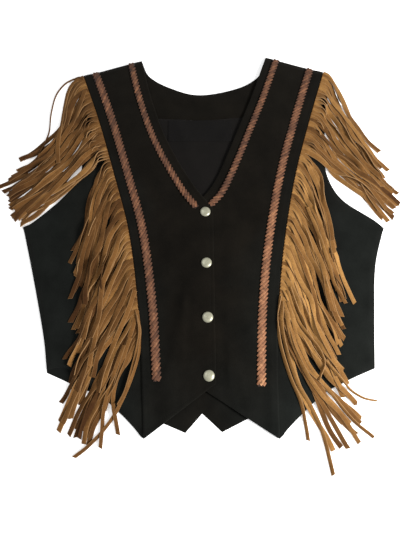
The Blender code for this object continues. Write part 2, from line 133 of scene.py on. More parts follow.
# Snaps
SNAP_RADIUS = 7.5
SNAP_HEIGHT = 3.1
SNAP_COUNT = 4
SNAP_FIRST = (2.0, 34.8)
SNAP_LAST = (6.0, -199.9)
SNAP_SIDES = 48
SNAP_PROFILE = (
    # radius and height in parts of the cap's, from its underside to its top
    *((0.0, 0.0), (0.93, 0.0), (1.0, 0.08), (1.0, 0.26), (0.965, 0.40), (0.93, 0.47)),
    *((0.86, 0.63), (0.74, 0.77), (0.58, 0.88), (0.38, 0.96), (0.18, 0.99), (0.0, 1.0)),
)

# Fringe: its strip and how the strands lie
STRANDS = 84
STRAND_WIDTH = 6.2
UPPER_WIDER = 1.1
STRAND_WALL = 1.1
STRIP = 9.0
STRIP_LINES = 12
STRIP_DARKER = 0.6
TURN = {"upper": 27.0, "lower": 13.0}  # a strand turns down over this length
TURN_START = 0.15
PLAN_STEP = 1.5
LEAN_MEAN = 15  # steps before and after over which a strand's lean is evened out
SAMPLE = 4.0  # between the sections of a strand
FEWEST_SECTIONS = 8
ROOT_IN = 0.6
ROOT_SPAN = 2
LIE_ABOVE = 0.15
LOWEST = 0.1
SPOTS = 7  # across a strand, where the pile below it is read
STEEPEST = 0.8
SLOPES = 17
SLOPE_COST = 0.25  # more keeps strands flatter, though they then lie higher
LIE_MEAN = 2  # sections before and after over which slope and level are evened out
LEVEL_PART = 0.55
EVEN_PART = 0.45
SAG = 0.9  # the lowest level, in parts of the evened one
TIP_SLANT = 0.6
COVER_FROM = 8.0  # from here on a strand adds to the pile
COVER_STEP = 0.8
COVER_LINES = 9
TIP_DARKER = 0.20
EDGE_WEAR_AND_HIGHLIGHT_WITH_TONE = 2.5  # dark strands have fainter pale edges: less wear and less painted highlight
# Partly painted light: the right strands are lighter than the left ones, partly their own tone, partly
# standing in for the light from the right.
LAY_TONE = {"left": (0.22, 0.32, 0.18), "right": (0.46, 0.62, 0.62)}  # upper, first and last lower
SPLIT_STEP = 0.01  # of the lower strands' length of seam, over which the upper tone gives way

# Fringe: how the strands differ. Ranges are lowest and highest, spreads are standard deviations.
SEED = {"left": 21, "right": 34}
STRAYS = 0.16  # the part of the strands that lie across the others
STRAY_WILDER = 1.8
ORDER_MIX = 11.0  # strands by which the order of laying varies
CLUMP = 4  # strands that lean alike
CLUMP_LEAN = 2.5
LEAN_SPREADS = (1.8, 2.5, 3.0)  # of the whole strand, all but its root, and its lower half
LOOSENESS = {"left": (0.45, 0.9), "right": (0.8, 1.0)}  # of the upper and the lower strands
REACH_SPREAD = 7.0
WAVES = (
    # range of the lean in degrees, range of the length
    ((4.0, 11.0), (75, 140)),
    ((1.5, 4.5), (32, 60)),
)
PHASES = (0, 6.28)
TURN_RANGE = (0.7, 1.5)
COMB_PART = 0.7  # of the strands stand on edge at their roots
COMB_START = {"left": 45.0, "right": 10.0}  # of the upper ones, from here on
COMB_EASE = 40
COMB_KEPT = 0.35
COMB_FADE = 30
COMB_ROLLS = (20, 70)
COMB_PLACES = (12, 24)  # from the root
COMB_LENGTHS = (6, 11)
TWIST_PART = 0.4
TWIST_ROLLS = (35, 85)
TWIST_SPREAD = 12
TWIST_PLACES = (0.25, 0.95)  # in parts of the strand
TWIST_LENGTHS = (14, 34)
TONE_SPREAD = 0.2
TONES = (0.02, 0.98)
WIDTHS = (0.85, 1.1)

EDGES = {
    "left": {
        "seam": (
            (-195, 274), (-164, 188), (-135, 94), (-109, 2), (-92, -105), (-84, -195), (-78.5, -279),
        ),
        "armhole": (
            (-206, 275), (-194, 208), (-188, 142), (-188, 98), (-211, 61), (-251, 22), (-266, 13),
        ),
        "side": ((-266, 13), (-243, -65), (-221, -146), (-212, -192)),
        "hem": ((-212, -192), (-187, -190), (-153, -213), (-109, -249), (-78.5, -279)),
        "neck": ((-102, 306), (-84, 233), (-59, 160), (-20, 86), (13.5, 40)),
        "placket": ((13.5, 40), (15.5, -210)),
    },
    "right": {
        "seam": (
            (195, 282), (164.5, 187), (137, 91), (115.5, -14), (103.5, -105), (98, -195), (96.5, -279),
        ),
        "armhole": (
            (206, 279), (194, 208), (186, 142), (187, 98), (206, 58), (250, 25), (264, 12),
        ),
        "side": ((264, 12), (246, -46), (237, -115), (229.5, -190)),
        "hem": ((229.5, -190), (196, -204), (161, -221), (121, -255), (96.5, -279)),
        "neck": ((103, 313), (79, 242), (57, 185), (18, 89), (-11, 49)),
        "placket": ((-11, 49), (-9, -213)),
    },
}
OUTWARD = {"left": -1.0, "right": 1.0}
BACK_NECK = ((-102, 306), (-89, 276), (-55, 254), (-6, 240), (58, 254), (93, 280), (103, 313))
BACK_HEM = (
    *((-212, -196), (-186, -207), (-25, -272), (-3, -248)),
    *((23, -271), (56, -255), (160, -221), (196, -204)),
)
FACING_LOW = ((-76, 197), (-6, 194), (64, 199))
FACING_PART = (0.05, 0.95)
LABEL = (-56.0, 44.0, 155.0, 192.0)
CORNER_PART = 0.45
OUTER_CORNER = 0.5
HEM_PULL = 3

# Ridges that the frame's panels have, and finer ones
FOLDS = (
    # from_x, from_y, to_x, to_y, height, half_width
    (-26, -105, -52, -245, 3.2, 13),
    (-56, -150, -70, -215, 1.4, 14),
    (-50, -256, -14, -232, 2.0, 10),
    (-79, -212, -78, -275, 1.4, 9),
    (-110, 200, -70, 60, 1.2, 22),
    (90, -175, 90, -262, 1.6, 8),
    (34, -165, 54, -240, 2.2, 13),
    (58, -60, 66, -190, 1.4, 16),
    (112, 215, 78, 70, 1.2, 22),
)
CREASES = (
    # from_x, from_y, to_x, to_y, height, half_width
    (-18, -60, -34, -132, 0.9, 7),
    (-40, -168, -64, -226, 0.8, 5),
    (-58, 20, -50, -60, 0.6, 12),
    (-96, 40, -84, -20, 0.5, 10),
    (-148, 256, -96, 150, 0.7, 12),
    (-128, 232, -112, 262, 0.6, 9),
    (-66, -100, -62, -160, 0.6, 7),
    (-160, -100, -128, -190, 0.9, 12),
    (-228, -20, -205, -120, 0.9, 16),
    (-236, 10, -180, -10, 0.8, 14),
    (-200, -160, -150, -180, 0.8, 9),
    (38, 20, 46, -70, 0.6, 12),
    (52, -110, 74, -168, 0.8, 7),
    (30, -190, 42, -246, 0.8, 6),
    (70, 120, 92, 40, 0.5, 12),
    (140, 262, 100, 168, 0.7, 12),
    (84, 40, 84, -90, 0.6, 9),
    (232, 6, 214, -110, 0.9, 15),
    (150, -110, 190, -180, 0.9, 12),
    (180, -20, 228, -60, 0.8, 14),
    (216, -130, 222, -176, 0.7, 8),
)

NECK_CREASES = (
    # from_x, from_y, to_x, to_y, height, half_width
    (-40, 190, -14, 96, 1.4, 8),
    (44, 186, 20, 104, 1.2, 8),
    (-20, 150, 6, 70, 0.8, 6),
    (-66, 232, 60, 226, 0.8, 9),
    (14, 150, 8, 92, 0.7, 5),
)

# How the strands fall along the seam: leans in degrees from straight down, from the root to
# the tip, and the distance that they reach
FALLS = {
    "left": (
        # along, root_lean, upper_lean, lower_lean, tip_lean, reach
        (0, 34, -4, 36, 64, 192),
        (20, 34, 2, 38, 60, 190),
        (45, 32, 14, 40, 56, 190),
        (90, 26, 32, 46, 54, 190),
        (130, 30, 42, 54, 52, 180),
        (157, 34, 44, 54, 50, 168),
        (160, 28, 8, 6, 26, 166),
        (180, 30, 8, 6, 14, 170),
        (230, 30, 10, 8, 16, 174),
        (270, 30, 14, 14, 16, 174),
        (310, 32, 20, 17, 17, 172),
        (350, 32, 26, 20, 14, 172),
        (390, 32, 30, 26, 22, 182),
        (425, 24, 29, 30, 12, 162),
        (446, 10, 30, 32, 5, 142),
    ),
    "right": (
        (0, 24, 12, 24, 34, 158),
        (24, 30, 18, 27, 36, 174),
        (60, 34, 28, 34, 42, 178),
        (100, 36, 32, 40, 42, 176),
        (130, 42, 40, 46, 40, 174),
        (153, 52, 50, 46, 36, 162),
        (156, 50, 12, 8, 8, 156),
        (175, 36, 14, 10, 8, 162),
        (200, 30, 16, 10, 6, 172),
        (240, 28, 18, 11, 12, 178),
        (280, 26, 18, 12, 22, 176),
        (320, 24, 20, 20, 24, 176),
        (350, 20, 20, 28, 38, 168),
        (385, 20, 24, 36, 48, 172),
        (405, 18, 22, 38, 50, 182),
        (416, 16, 20, 30, 36, 188),
        (432, 12, 14, 22, 18, 172),
    ),
}
# Strands that lie apart from the rest: width, roll in degrees at the root and at the tip, where
# 90 stands on its edge, tone, and the points that each runs through
LOOSE = {
    "left": (
        (6.4, 0, 5, 0.16, ((-190, 246), (-198, 214), (-213, 170), (-235, 133), (-266, 109), (-297, 89))),
        (6.2, 0, 0, 0.12, ((-176, 150), (-190, 132), (-212, 97), (-236, 72), (-257, 50), (-281, 24))),
        (6.6, 5, 0, 0.26, ((-164, 142), (-182, 124), (-212, 88), (-237, 58), (-261, 34))),
        (6.4, 0, 5, 0.34, ((-170, 168), (-193, 138), (-224, 98), (-252, 72), (-276, 49))),
        (6.2, 0, 0, 0.3, (
            (-196, 266), (-209, 264), (-218, 250), (-222, 225), (-224, 180), (-225, 145), (-223, 117),
        )),
        (6.2, 0, 10, 0.2, ((-102, -64), (-112, -96), (-127, -131), (-140, -168), (-148, -202))),
        (6.4, 10, 0, 0.35, ((-97, -84), (-105, -113), (-119, -149), (-132, -185), (-140, -221))),
        (6.0, 0, 15, 0.28, ((-93, -113), (-100, -145), (-112, -179), (-122, -212), (-131, -243))),
        (2.6, 80, 84, 0.04, (
            (-194, 266), (-208, 270), (-224, 263), (-238, 240),
            (-243, 205), (-243, 172), (-250, 142), (-257, 120),
        )),
        (4.8, 65, 20, 0.3, (
            (-92, -118), (-87, -137), (-87, -155), (-90, -179), (-100, -212),
            (-114, -243), (-131, -268), (-150, -288), (-167, -301),
        )),
        (5.0, 30, 50, 0.3, (
            (-93, -112), (-88, -140), (-90, -162), (-96, -190), (-104, -220), (-112, -236),
        )),
        (5.2, 10, 10, 0.3, ((-100, -150), (-112, -190), (-120, -228), (-116, -255), (-112, -274))),
        (5.0, 10, 30, 0.3, ((-108, -160), (-122, -205), (-132, -245), (-133, -270), (-134, -290))),
    ),
    "right": (
        (4.6, 60, 20, 0.6, (
            (106, -92), (101, -124), (103, -158), (113, -198), (126, -233), (132, -262), (134, -281),
        )),
        (5.0, 30, 25, 0.6, (
            (108, -100), (106, -135), (112, -172), (124, -210),
            (140, -240), (150, -262), (157, -289), (163, -322),
        )),
        (5.6, 0, 5, 0.6, (
            (112, -110), (118, -150), (132, -190), (154, -224), (178, -248), (200, -284),
        )),
        (4.4, 10, 30, 0.6, (
            (116, -100), (126, -150), (142, -190), (164, -218), (192, -254), (219, -277),
        )),
        (3.4, 20, 55, 0.75, (
            (120, -80), (136, -130), (156, -172), (174, -196), (192, -216), (210, -228), (227, -232),
        )),
        (3.6, 15, 35, 0.6, (
            (116, -85), (128, -125), (142, -148), (154, -166), (159, -184), (150, -206),
        )),
        (4.6, 10, 10, 0.6, ((152, 40), (165, -3), (175, -42), (184, -77), (197, -102))),
    ),
}
GROUP_SPLIT = {"left": 158.0, "right": 154.0}  # from the seam's top to the first lower strand
FRINGE_LENGTH = {"left": 446.0, "right": 432.0}
PILE_BOX = {"left": ((-330, -345), (-60, 320)), "right": ((70, -345), (330, 320))}
PILE_POINTS = 2  # between the points at which the side panel's top is read
PILE_MARGIN = 2.5  # around the panel

# Distances from an edge at which a panel has points: its rounded rim and its row of stitches
EDGE_STEPS = (0.0, 0.6, 1.4, 2.6, 4.4, 6.0, 7.6, 10.0)
RIM = 2.2
RIM_START = 0.35  # of the wall, at its edge
STITCH_IN = 6.0
SEAM_STITCH_IN = 2.6
STITCH_ROW = 1.2
STITCH_SINK = 0.35
STITCH_PITCH = 3.4
STITCH_HALF = 0.36  # half a stitch, in parts of the pitch
STITCH_RADIUS = 0.3
STITCH_SIDES = 6
STITCH_SECTIONS = (
    # part of the stitch, size, sink
    (0.0, 0.35, -0.25),
    (0.3, 1.0, 0.0),
    (0.7, 1.0, 0.0),
    (1.0, 0.35, -0.25),
)
CENTER_ROWS = {"neck": STITCH_IN, "placket": STITCH_IN, "low": STITCH_IN, "seam": SEAM_STITCH_IN}
SIDE_ROWS = {"armhole": STITCH_IN, "side": STITCH_IN, "hem": STITCH_IN}

# The flat pieces of the back, by their nodes
BACK_PIECES = {
    # ending of the mesh's name, size of its cells, wall, slot
    "back": ("suede", 8.0, WALL, "suede_black"),
    "back_neck_facing": ("suede", 6.0, LINING_WALL, "suede_black"),
    "back_lining": ("cloth", 7.0, LINING_WALL, "lining_black"),
    "neck_label": ("cloth", 4.0, LABEL_WALL, "label_black"),
}


# Shapes


def ease(x):
    x = np.clip(x, 0.0, 1.0)
    return x * x * (3.0 - 2.0 * x)


def smooth_curve(points):
    """A Catmull-Rom curve through the points."""
    p = np.array(points, float)
    p = np.vstack([2 * p[0] - p[1], p, 2 * p[-1] - p[-2]])
    u = np.linspace(0, 1, CURVE_STEPS, endpoint=False)[:, None]
    pieces = []
    for a, b, c, d in zip(p, p[1:], p[2:], p[3:]):
        bend = 2 * a - 5 * b + 4 * c - d
        pieces.append(0.5 * (2 * b + (c - a) * u + bend * u**2 + (3 * b - 3 * c + d - a) * u**3))
    return np.vstack(pieces + [p[-2:-1]])


def lengths(line):
    return np.concatenate([[0.0], np.cumsum(np.linalg.norm(np.diff(line, axis=0), axis=1))])


def unit(vectors):
    return vectors / np.linalg.norm(vectors, axis=1)[:, None]


def averaged(values, reach):
    """A running mean over reach values before and after each one."""
    wide = 2 * reach + 1
    return np.convolve(np.pad(values, reach, mode="edge"), np.ones(wide) / wide, mode="valid")


def read_rows(places, own, rows):
    """Rows of numbers that stand at the lengths own, read at other places."""
    return np.stack([np.interp(places, own, column) for column in rows.T], axis=1)


def points_at(line, distances):
    return read_rows(distances, lengths(line[:, :2]), line)


def points_part(line, parts):
    return points_at(line, np.asarray(parts) * lengths(line[:, :2])[-1])


def distance(points, line):
    """How far each point is from a line."""
    nearest = np.full(len(points), np.inf)
    for start, end in zip(line, line[1:]):
        run = end - start
        away = points - start
        t = np.clip(away @ run / max(run @ run, 1e-9), 0, 1)
        nearest = np.minimum(nearest, np.linalg.norm(away - t[:, None] * run, axis=1))
    return nearest


def inside(points, outline):
    """Which points lie inside a closed outline."""
    within = np.zeros(len(points), bool)
    x, y = points[:, 0], points[:, 1]
    for a, b in zip(outline, np.roll(outline, -1, axis=0)):
        if a[1] == b[1]:
            continue
        spans = (a[1] > y) != (b[1] > y)
        within ^= spans & (x < a[0] + (y - a[1]) * (b[0] - a[0]) / (b[1] - a[1]))
    return within


def moved_out(outline, amount):
    """A closed outline that runs clockwise, moved out by amount."""
    before, after = np.roll(outline, 1, axis=0), np.roll(outline, -1, axis=0)
    first, second = unit(outline - before), unit(after - outline)
    sides = [np.stack([-d[:, 1], d[:, 0]], axis=1) for d in (first, second)]
    middle = sides[0] + sides[1]
    return outline + amount * middle / np.maximum((middle * sides[0]).sum(1), 0.5)[:, None]


def normals(line):
    run = unit(np.gradient(line[:, :2], axis=0))
    return np.stack([-run[:, 1], run[:, 0]], axis=1)


def side_lines(side):
    lines = {name: smooth_curve(points) for name, points in EDGES[side].items()}
    lines["placket"] = np.array(EDGES[side]["placket"], float)
    lines["outer"] = np.vstack([lines["armhole"], lines["side"][1:], lines["hem"][1:]])
    lines["shoulder"] = np.array([lines["neck"][0], lines["armhole"][0]])
    lines["low"] = np.array([lines["placket"][-1], lines["seam"][-1]])
    return lines


LINES = {side: side_lines(side) for side in EDGES}


def from_edges(points, side, names):
    """How far each point is from the nearest of a front's named lines."""
    return np.min([distance(points, LINES[side][name]) for name in names], axis=0)


def ridges(points, table):
    total = np.zeros(len(points))
    for x0, y0, x1, y1, height, half_width in table:
        line = np.array([(x0, y0), (x1, y1)], float)
        total += height * np.exp(-((distance(points, line) / half_width) ** 2))
    return total


def ripples(points, size, seed):
    """Smooth uneven waves from 0 to 1 with a given size."""
    random = np.random.default_rng(seed)
    total = np.zeros(len(points))
    for _ in range(6):
        angle, phase = random.uniform(0, 2 * math.pi, 2)
        wave = random.uniform(0.7, 1.5) * size
        along = points[:, 0] * math.cos(angle) + points[:, 1] * math.sin(angle)
        total += np.sin(2 * math.pi * along / wave + phase)
    return 0.5 + 0.5 * total / 6


def fold_height(points):
    """Ridges, creases and ripples, all flat beside the front edge."""
    free = ease((abs(points[:, 0] - PLACKET_MIDDLE) - PLACKET_FLAT) / FOLD_EASE)
    soft = sum(height * ripples(points, size, seed) for height, size, seed in RIPPLES)
    return (ridges(points, FOLDS) + ridges(points, CREASES) + soft) * free


def front_height(points, side):
    """The underside of a side panel."""
    edge = from_edges(points, side, ("outer", "shoulder"))
    return WALL + GAP + ease(edge / ROLL) * (LINING_WALL + GAP + fold_height(points))


def center_height(points, side):
    """The underside of a centre panel."""
    from_seam = distance(points, LINES[side]["seam"])
    inner = np.minimum(from_seam, distance(points, LINES[side]["shoulder"]))
    lap = (WALL + GAP) * (1 - ease((from_seam - SEAM_LAP) / LAP_EASE))
    height = front_height(points, side) + PUFF * ease(inner / PUFF_WIDTH) + lap
    if side == "left":
        under_edge = LINES["right"]["placket"][0, 0] - OVER_MARGIN
        height += (WALL + GAP) * (1 - ease((under_edge - points[:, 0]) / LAP_EASE))
    return height


def rim(edge, wall):
    """How far a wall's top lies above its underside, at a distance from its edge."""
    near = np.clip(1 - edge / RIM, 0, 1)
    row = np.exp(-(((edge - STITCH_IN) / STITCH_ROW) ** 2))
    round_part = RIM_START + (1 - RIM_START) * np.sqrt(1 - near**2)
    return wall * round_part - STITCH_SINK * row


def edge_parts(length, step, start=True, end=True):
    """Parts of a line from 0 to 1, close together at its ends."""
    first = np.array(EDGE_STEPS if start else (0.0,))
    last = length - np.array(EDGE_STEPS if end else (0.0,))[::-1]
    count = int((last[0] - first[-1]) / step) + 2
    middle = np.linspace(first[-1], last[0], count)
    return np.concatenate([first, middle[1:-1], last]) / length


def seam_parts(upper, lower):
    """Where the rows start on the seam, from 0 to 1."""
    return np.append(CORNER_PART * upper, CORNER_PART + (1 - CORNER_PART) * lower)


def across_rows(side, upper, lower):
    """Points on the seam and on the front edge, the unit run between them and its length."""
    lines = LINES[side]
    seam = points_part(lines["seam"], seam_parts(upper, lower))
    front = np.vstack([points_part(lines["neck"], upper), points_part(lines["placket"], lower)])
    width = np.linalg.norm(front - seam, axis=1)
    return seam, front, (front - seam) / width[:, None], width


def side_rows(side):
    """Rows for both panels of a front."""
    lines = LINES[side]
    neck = lengths(lines["neck"])[-1]
    low = (1 - CORNER_PART) * lengths(lines["seam"])[-1]
    upper = edge_parts(neck, ROW_STEP, end=False)
    lower = edge_parts(low, ROW_STEP, start=False)[1:]
    return upper, lower


def center_plan(side):
    """A centre panel's points, in rows from the seam to the neck and the front edge."""
    upper, lower = side_rows(side)
    seam, front, across, width = across_rows(side, upper, lower)
    count = int(width.max() / COLUMN_STEP)
    columns = np.array([even_columns(wide, count) for wide in width])
    return seam[:, None] + columns[..., None] * across[:, None]


def even_columns(wide, count):
    """A fixed number of columns over one row, close together at both edges."""
    steps = np.array(EDGE_STEPS)
    middle = np.linspace(steps[-1], wide - steps[-1], count)
    return np.concatenate([steps, middle[1:-1], wide - steps[::-1]])


def side_plan(side):
    """A side panel's points, in rows from its outer edge to under the centre panel."""
    lines = LINES[side]
    upper, lower = side_rows(side)
    seam, _, across_in, _ = across_rows(side, upper, lower)
    place = seam_parts(upper, lower)
    arm_rows = place <= OUTER_CORNER
    arm = points_part(lines["armhole"], place[arm_rows] / place[arm_rows][-1])
    start = place[arm_rows][-1]
    down = (place[~arm_rows] - start) / (1 - start)
    outer = np.vstack([arm, points_part(lines["side"], down)])
    across = seam - outer
    width = np.linalg.norm(across, axis=1)
    across /= width[:, None]
    steps = np.array(EDGE_STEPS)
    columns = []
    for wide in width:
        near = steps * min(1.0, 0.5 * wide / steps[-1])
        columns.append(np.concatenate([near, np.linspace(near[-1], wide, SIDE_COLUMNS)[1:]]))
    columns = np.array(columns)
    plan = outer[:, None] + columns[..., None] * across[:, None]
    hem = points_part(lines["hem"], columns[-1] / width[-1])
    low = np.append(np.zeros(arm_rows.sum()), down) ** HEM_PULL
    shift = (hem - plan[-1])[None] * low[:, None, None]
    ramp = np.clip((width[:, None] - columns) / HEM_EASE, 0, 1)
    plan += shift * ramp[..., None]
    lap = seam + across_in * SEAM_LAP
    return np.concatenate([plan, lap[:, None]], axis=1)


# Meshes


def add_mesh(name, vertices, faces, look_made, sharp=SHARP, values=None, face_values=None):
    """One mesh from points in millimetres, with attributes for its points and its faces."""
    mesh = bpy.data.meshes.new(name)
    mesh.from_pydata([tuple(v) for v in np.asarray(vertices, float) * MM], [], faces)
    for key, numbers in (values or {}).items():
        layer = mesh.attributes.new(key, "FLOAT", "POINT")
        layer.data.foreach_set("value", np.asarray(numbers, np.float32))
    for key, numbers in (face_values or {}).items():
        layer = mesh.attributes.new(key, "FLOAT", "FACE")
        layer.data.foreach_set("value", np.asarray(numbers, np.float32))
    work = bmesh.new()
    work.from_mesh(mesh)
    bmesh.ops.recalc_face_normals(work, faces=work.faces)
    work.to_mesh(mesh)
    work.free()
    mesh.shade_smooth()
    mesh.set_sharp_from_angle(angle=math.radians(sharp))
    mesh.materials.append(look_made)
    made = bpy.data.objects.new(name, mesh)
    bpy.context.scene.collection.objects.link(made)
    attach(made, "root")
    return made


def dress(made, name):
    """Hides the frame's node that a mesh takes the place of."""
    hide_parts(name)
    return made


def tube_faces(base, rings, sides):
    """The faces of a closed tube whose rings of points start at the index base."""
    faces = []
    for a in range(base, base + (rings - 1) * sides, sides):
        b = a + sides
        for k in range(sides):
            m = (k + 1) % sides
            faces.append((a + k, a + m, b + m, b + k))
    last = base + (rings - 1) * sides
    return faces + [tuple(range(base, base + sides)), tuple(range(last, last + sides))]


def grid_shell(low, top):
    """Vertices and faces of a closed wall between two grids of points."""
    rows, columns = low.shape[:2]
    count = rows * columns
    vertices = np.vstack([low.reshape(-1, 3), top.reshape(-1, 3)])
    index = np.arange(count).reshape(rows, columns)
    a, b, c, d = index[:-1, :-1], index[:-1, 1:], index[1:, 1:], index[1:, :-1]
    quads = np.stack([a, b, c, d], axis=-1).reshape(-1, 4)
    faces = [tuple(q) for q in quads[:, ::-1].tolist()]
    faces += [tuple(q) for q in (quads + count).tolist()]
    edge = [*index[0], *index[1:, -1], *index[-1, -2::-1], *index[-2:0:-1, 0]]
    for a, b in zip(edge, edge[1:] + edge[:1]):
        faces.append((int(a), int(b), int(count + b), int(count + a)))
    return vertices, faces


def cut_sheet(outline, step):
    """A flat outline cut into cells: their points, their faces and the edges of its border."""
    work = bmesh.new()
    ring = [work.verts.new((*p, 0.0)) for p in outline]
    work.faces.new(ring)
    bmesh.ops.triangulate(work, faces=work.faces[:])
    low, high = outline.min(0), outline.max(0)
    for axis in (0, 1):
        for place in np.arange(low[axis] + step / 2, high[axis], step):
            across = [0.0, 0.0, 0.0]
            across[axis] = 1.0
            point = [0.0, 0.0, 0.0]
            point[axis] = place
            whole = work.verts[:] + work.edges[:] + work.faces[:]
            bmesh.ops.bisect_plane(work, geom=whole, plane_co=point, plane_no=across, dist=1e-4)
    work.verts.index_update()
    points = np.array([v.co[:2] for v in work.verts])
    faces = [tuple(v.index for v in f.verts) for f in work.faces]
    border = [tuple(v.index for v in e.verts) for e in work.edges if len(e.link_faces) == 1]
    work.free()
    return points, faces, border


def flat_shell(outline, step, bottom, wall, lift=None):
    """Vertices and faces of a wall on a flat outline, its rim rounded."""
    points, faces, border = cut_sheet(outline, step)
    closed = np.vstack([outline, outline[:1]])
    raised = np.zeros(len(points)) if lift is None else lift(points)
    low = np.column_stack([points, bottom + raised])
    top = np.column_stack([points, bottom + raised + rim(distance(points, closed), wall)])
    count = len(points)
    all_faces = [f[::-1] for f in faces] + [tuple(i + count for i in f) for f in faces]
    all_faces += [(a, b, b + count, a + count) for a, b in border]
    return np.vstack([low, top]), all_faces


def dense(line, step=LINE_STEP):
    own = lengths(line)
    return points_at(line, np.linspace(0, own[-1], int(own[-1] / step) + 2))


# Looks


def node(tree, kind, **values):
    made = tree.nodes.new(kind)
    for key, value in values.items():
        if key in made.inputs:
            made.inputs[key].default_value = value
        else:
            setattr(made, key, value)
    return made


def look(name, slot_values):
    """A new material with its shader's constants set."""
    made = bpy.data.materials.new(name)
    made.use_nodes = True
    shader = made.node_tree.nodes["Principled BSDF"]
    for key, value in slot_values.items():
        shader.inputs[key].default_value = value
    return made, made.node_tree, shader


def noise(tree, scale, detail=4.0, rough=0.6):
    place = node(tree, "ShaderNodeTexCoord")
    made = node(tree, "ShaderNodeTexNoise", Scale=scale, Detail=detail, Roughness=rough)
    tree.links.new(place.outputs["Object"], made.inputs["Vector"])
    return made.outputs["Fac"]


def ramp(tree, source, stops):
    made = node(tree, "ShaderNodeValToRGB")
    tree.links.new(source, made.inputs["Fac"])
    elements = made.color_ramp.elements
    while len(elements) < len(stops):
        elements.new(0.5)
    for element, (place, colour) in zip(elements, stops):
        element.position = place
        element.color = (*colour, 1.0)
    return made.outputs["Color"]


def mix(tree, kind, factor, a, b):
    made = node(tree, "ShaderNodeMix", data_type="RGBA", blend_type=kind)
    sockets = {"Factor": made.inputs[0], "A": made.inputs[6], "B": made.inputs[7]}
    for key, value in (("Factor", factor), ("A", a), ("B", b)):
        if isinstance(value, bpy.types.NodeSocket):
            tree.links.new(value, sockets[key])
        elif key == "Factor":
            sockets[key].default_value = value
        else:
            sockets[key].default_value = (*value, 1.0)
    return made.outputs[2]


def attribute(tree, name):
    made = node(tree, "ShaderNodeAttribute")
    made.attribute_name = name
    return made.outputs["Fac"]


def bump(tree, shader, source, depth, strength):
    made = node(tree, "ShaderNodeBump", Strength=strength, Distance=depth)
    tree.links.new(source, made.inputs["Height"])
    tree.links.new(made.outputs["Normal"], shader.inputs["Normal"])


def add_sources(tree, pairs):
    """The weighted sum of several heights."""
    total = None
    for source, weight in pairs:
        made = node(tree, "ShaderNodeMath", operation="MULTIPLY")
        tree.links.new(source, made.inputs[0])
        made.inputs[1].default_value = weight
        if total is None:
            total = made.outputs[0]
            continue
        both = node(tree, "ShaderNodeMath", operation="ADD")
        tree.links.new(total, both.inputs[0])
        tree.links.new(made.outputs[0], both.inputs[1])
        total = both.outputs[0]
    return total


def suede_look():
    """Napped suede: warm in the middle, and cooler and paler to the sides and the hem, which is a
    painted sheen.
    """
    warm = ((0.0024, 0.0019, 0.0013), (0.0058, 0.0046, 0.0032))
    painted_sheen_colours = ((0.0036, 0.0042, 0.0038), (0.0076, 0.0088, 0.0080))
    values = {
        "Roughness": 0.92,
        "Sheen Weight": 0.05,
        "Sheen Roughness": 0.55,
        "Sheen Tint": (0.55, 0.55, 0.5, 1.0),
        "Specular IOR Level": 0.04,
    }
    made, tree, shader = look("suede_black_nap", values)
    patches = noise(tree, 26.0, 3.0, 0.55)
    nap = noise(tree, 700.0, 4.0, 0.7)
    mixed = add_sources(tree, [(patches, 0.6), (nap, 0.4)])
    # Painted sheen: the colour turns cooler and paler away from the middle and toward the hem.
    place = node(tree, "ShaderNodeSeparateXYZ")
    tree.links.new(node(tree, "ShaderNodeTexCoord").outputs["Object"], place.inputs[0])
    aside = node(tree, "ShaderNodeMath", operation="ABSOLUTE")
    tree.links.new(place.outputs["X"], aside.inputs[0])
    painted_sheen_spread = add_sources(
        tree, [(aside.outputs[0], 3.0), (place.outputs["Y"], -1.2), (noise(tree, 9.0, 2.0), 0.5)]
    )
    part = ramp(tree, painted_sheen_spread, [(0.44, (0.0, 0.0, 0.0)), (0.88, (1.0, 1.0, 1.0))])
    stops = (0.36, 0.66)
    colours = [ramp(tree, mixed, list(zip(stops, pair))) for pair in (warm, painted_sheen_colours)]
    tree.links.new(mix(tree, "MIX", part, *colours), shader.inputs["Base Color"])
    bump(tree, shader, add_sources(tree, [(nap, 1.0), (noise(tree, 180.0), 1.2)]), 0.0004, 0.6)
    return made


def strand_look():
    """Tan suede with a tone for each strand and paler cut edges, partly worn and partly a painted
    highlight.
    """
    values = {
        "Roughness": 0.88,
        "Sheen Weight": 0.12,
        "Sheen Roughness": 0.5,
        "Sheen Tint": (0.9, 0.62, 0.35, 1.0),
        "Specular IOR Level": 0.06,
    }
    made, tree, shader = look("suede_tan_nap", values)
    patches = noise(tree, 38.0, 3.0, 0.6)
    tone = add_sources(tree, [(attribute(tree, "tone"), 0.8), (patches, 0.4)])
    stops = [(0.1, (0.045, 0.018, 0.006)), (0.5, (0.150, 0.070, 0.021)), (0.95, (0.36, 0.19, 0.060))]
    base = ramp(tree, tone, stops)
    nap = noise(tree, 420.0, 4.0, 0.7)
    shade = ramp(tree, nap, [(0.3, (0.72, 0.70, 0.68)), (0.7, (1.12, 1.12, 1.12))])
    worn = mix(tree, "MULTIPLY", 1.0, base, shade)
    # Pale edges: worn cut edges with a painted highlight where light catches them.
    colour = mix(tree, "MIX", attribute(tree, "edge"), worn, (0.27, 0.155, 0.070))
    tree.links.new(colour, shader.inputs["Base Color"])
    bump(tree, shader, nap, 0.0003, 0.6)
    return made


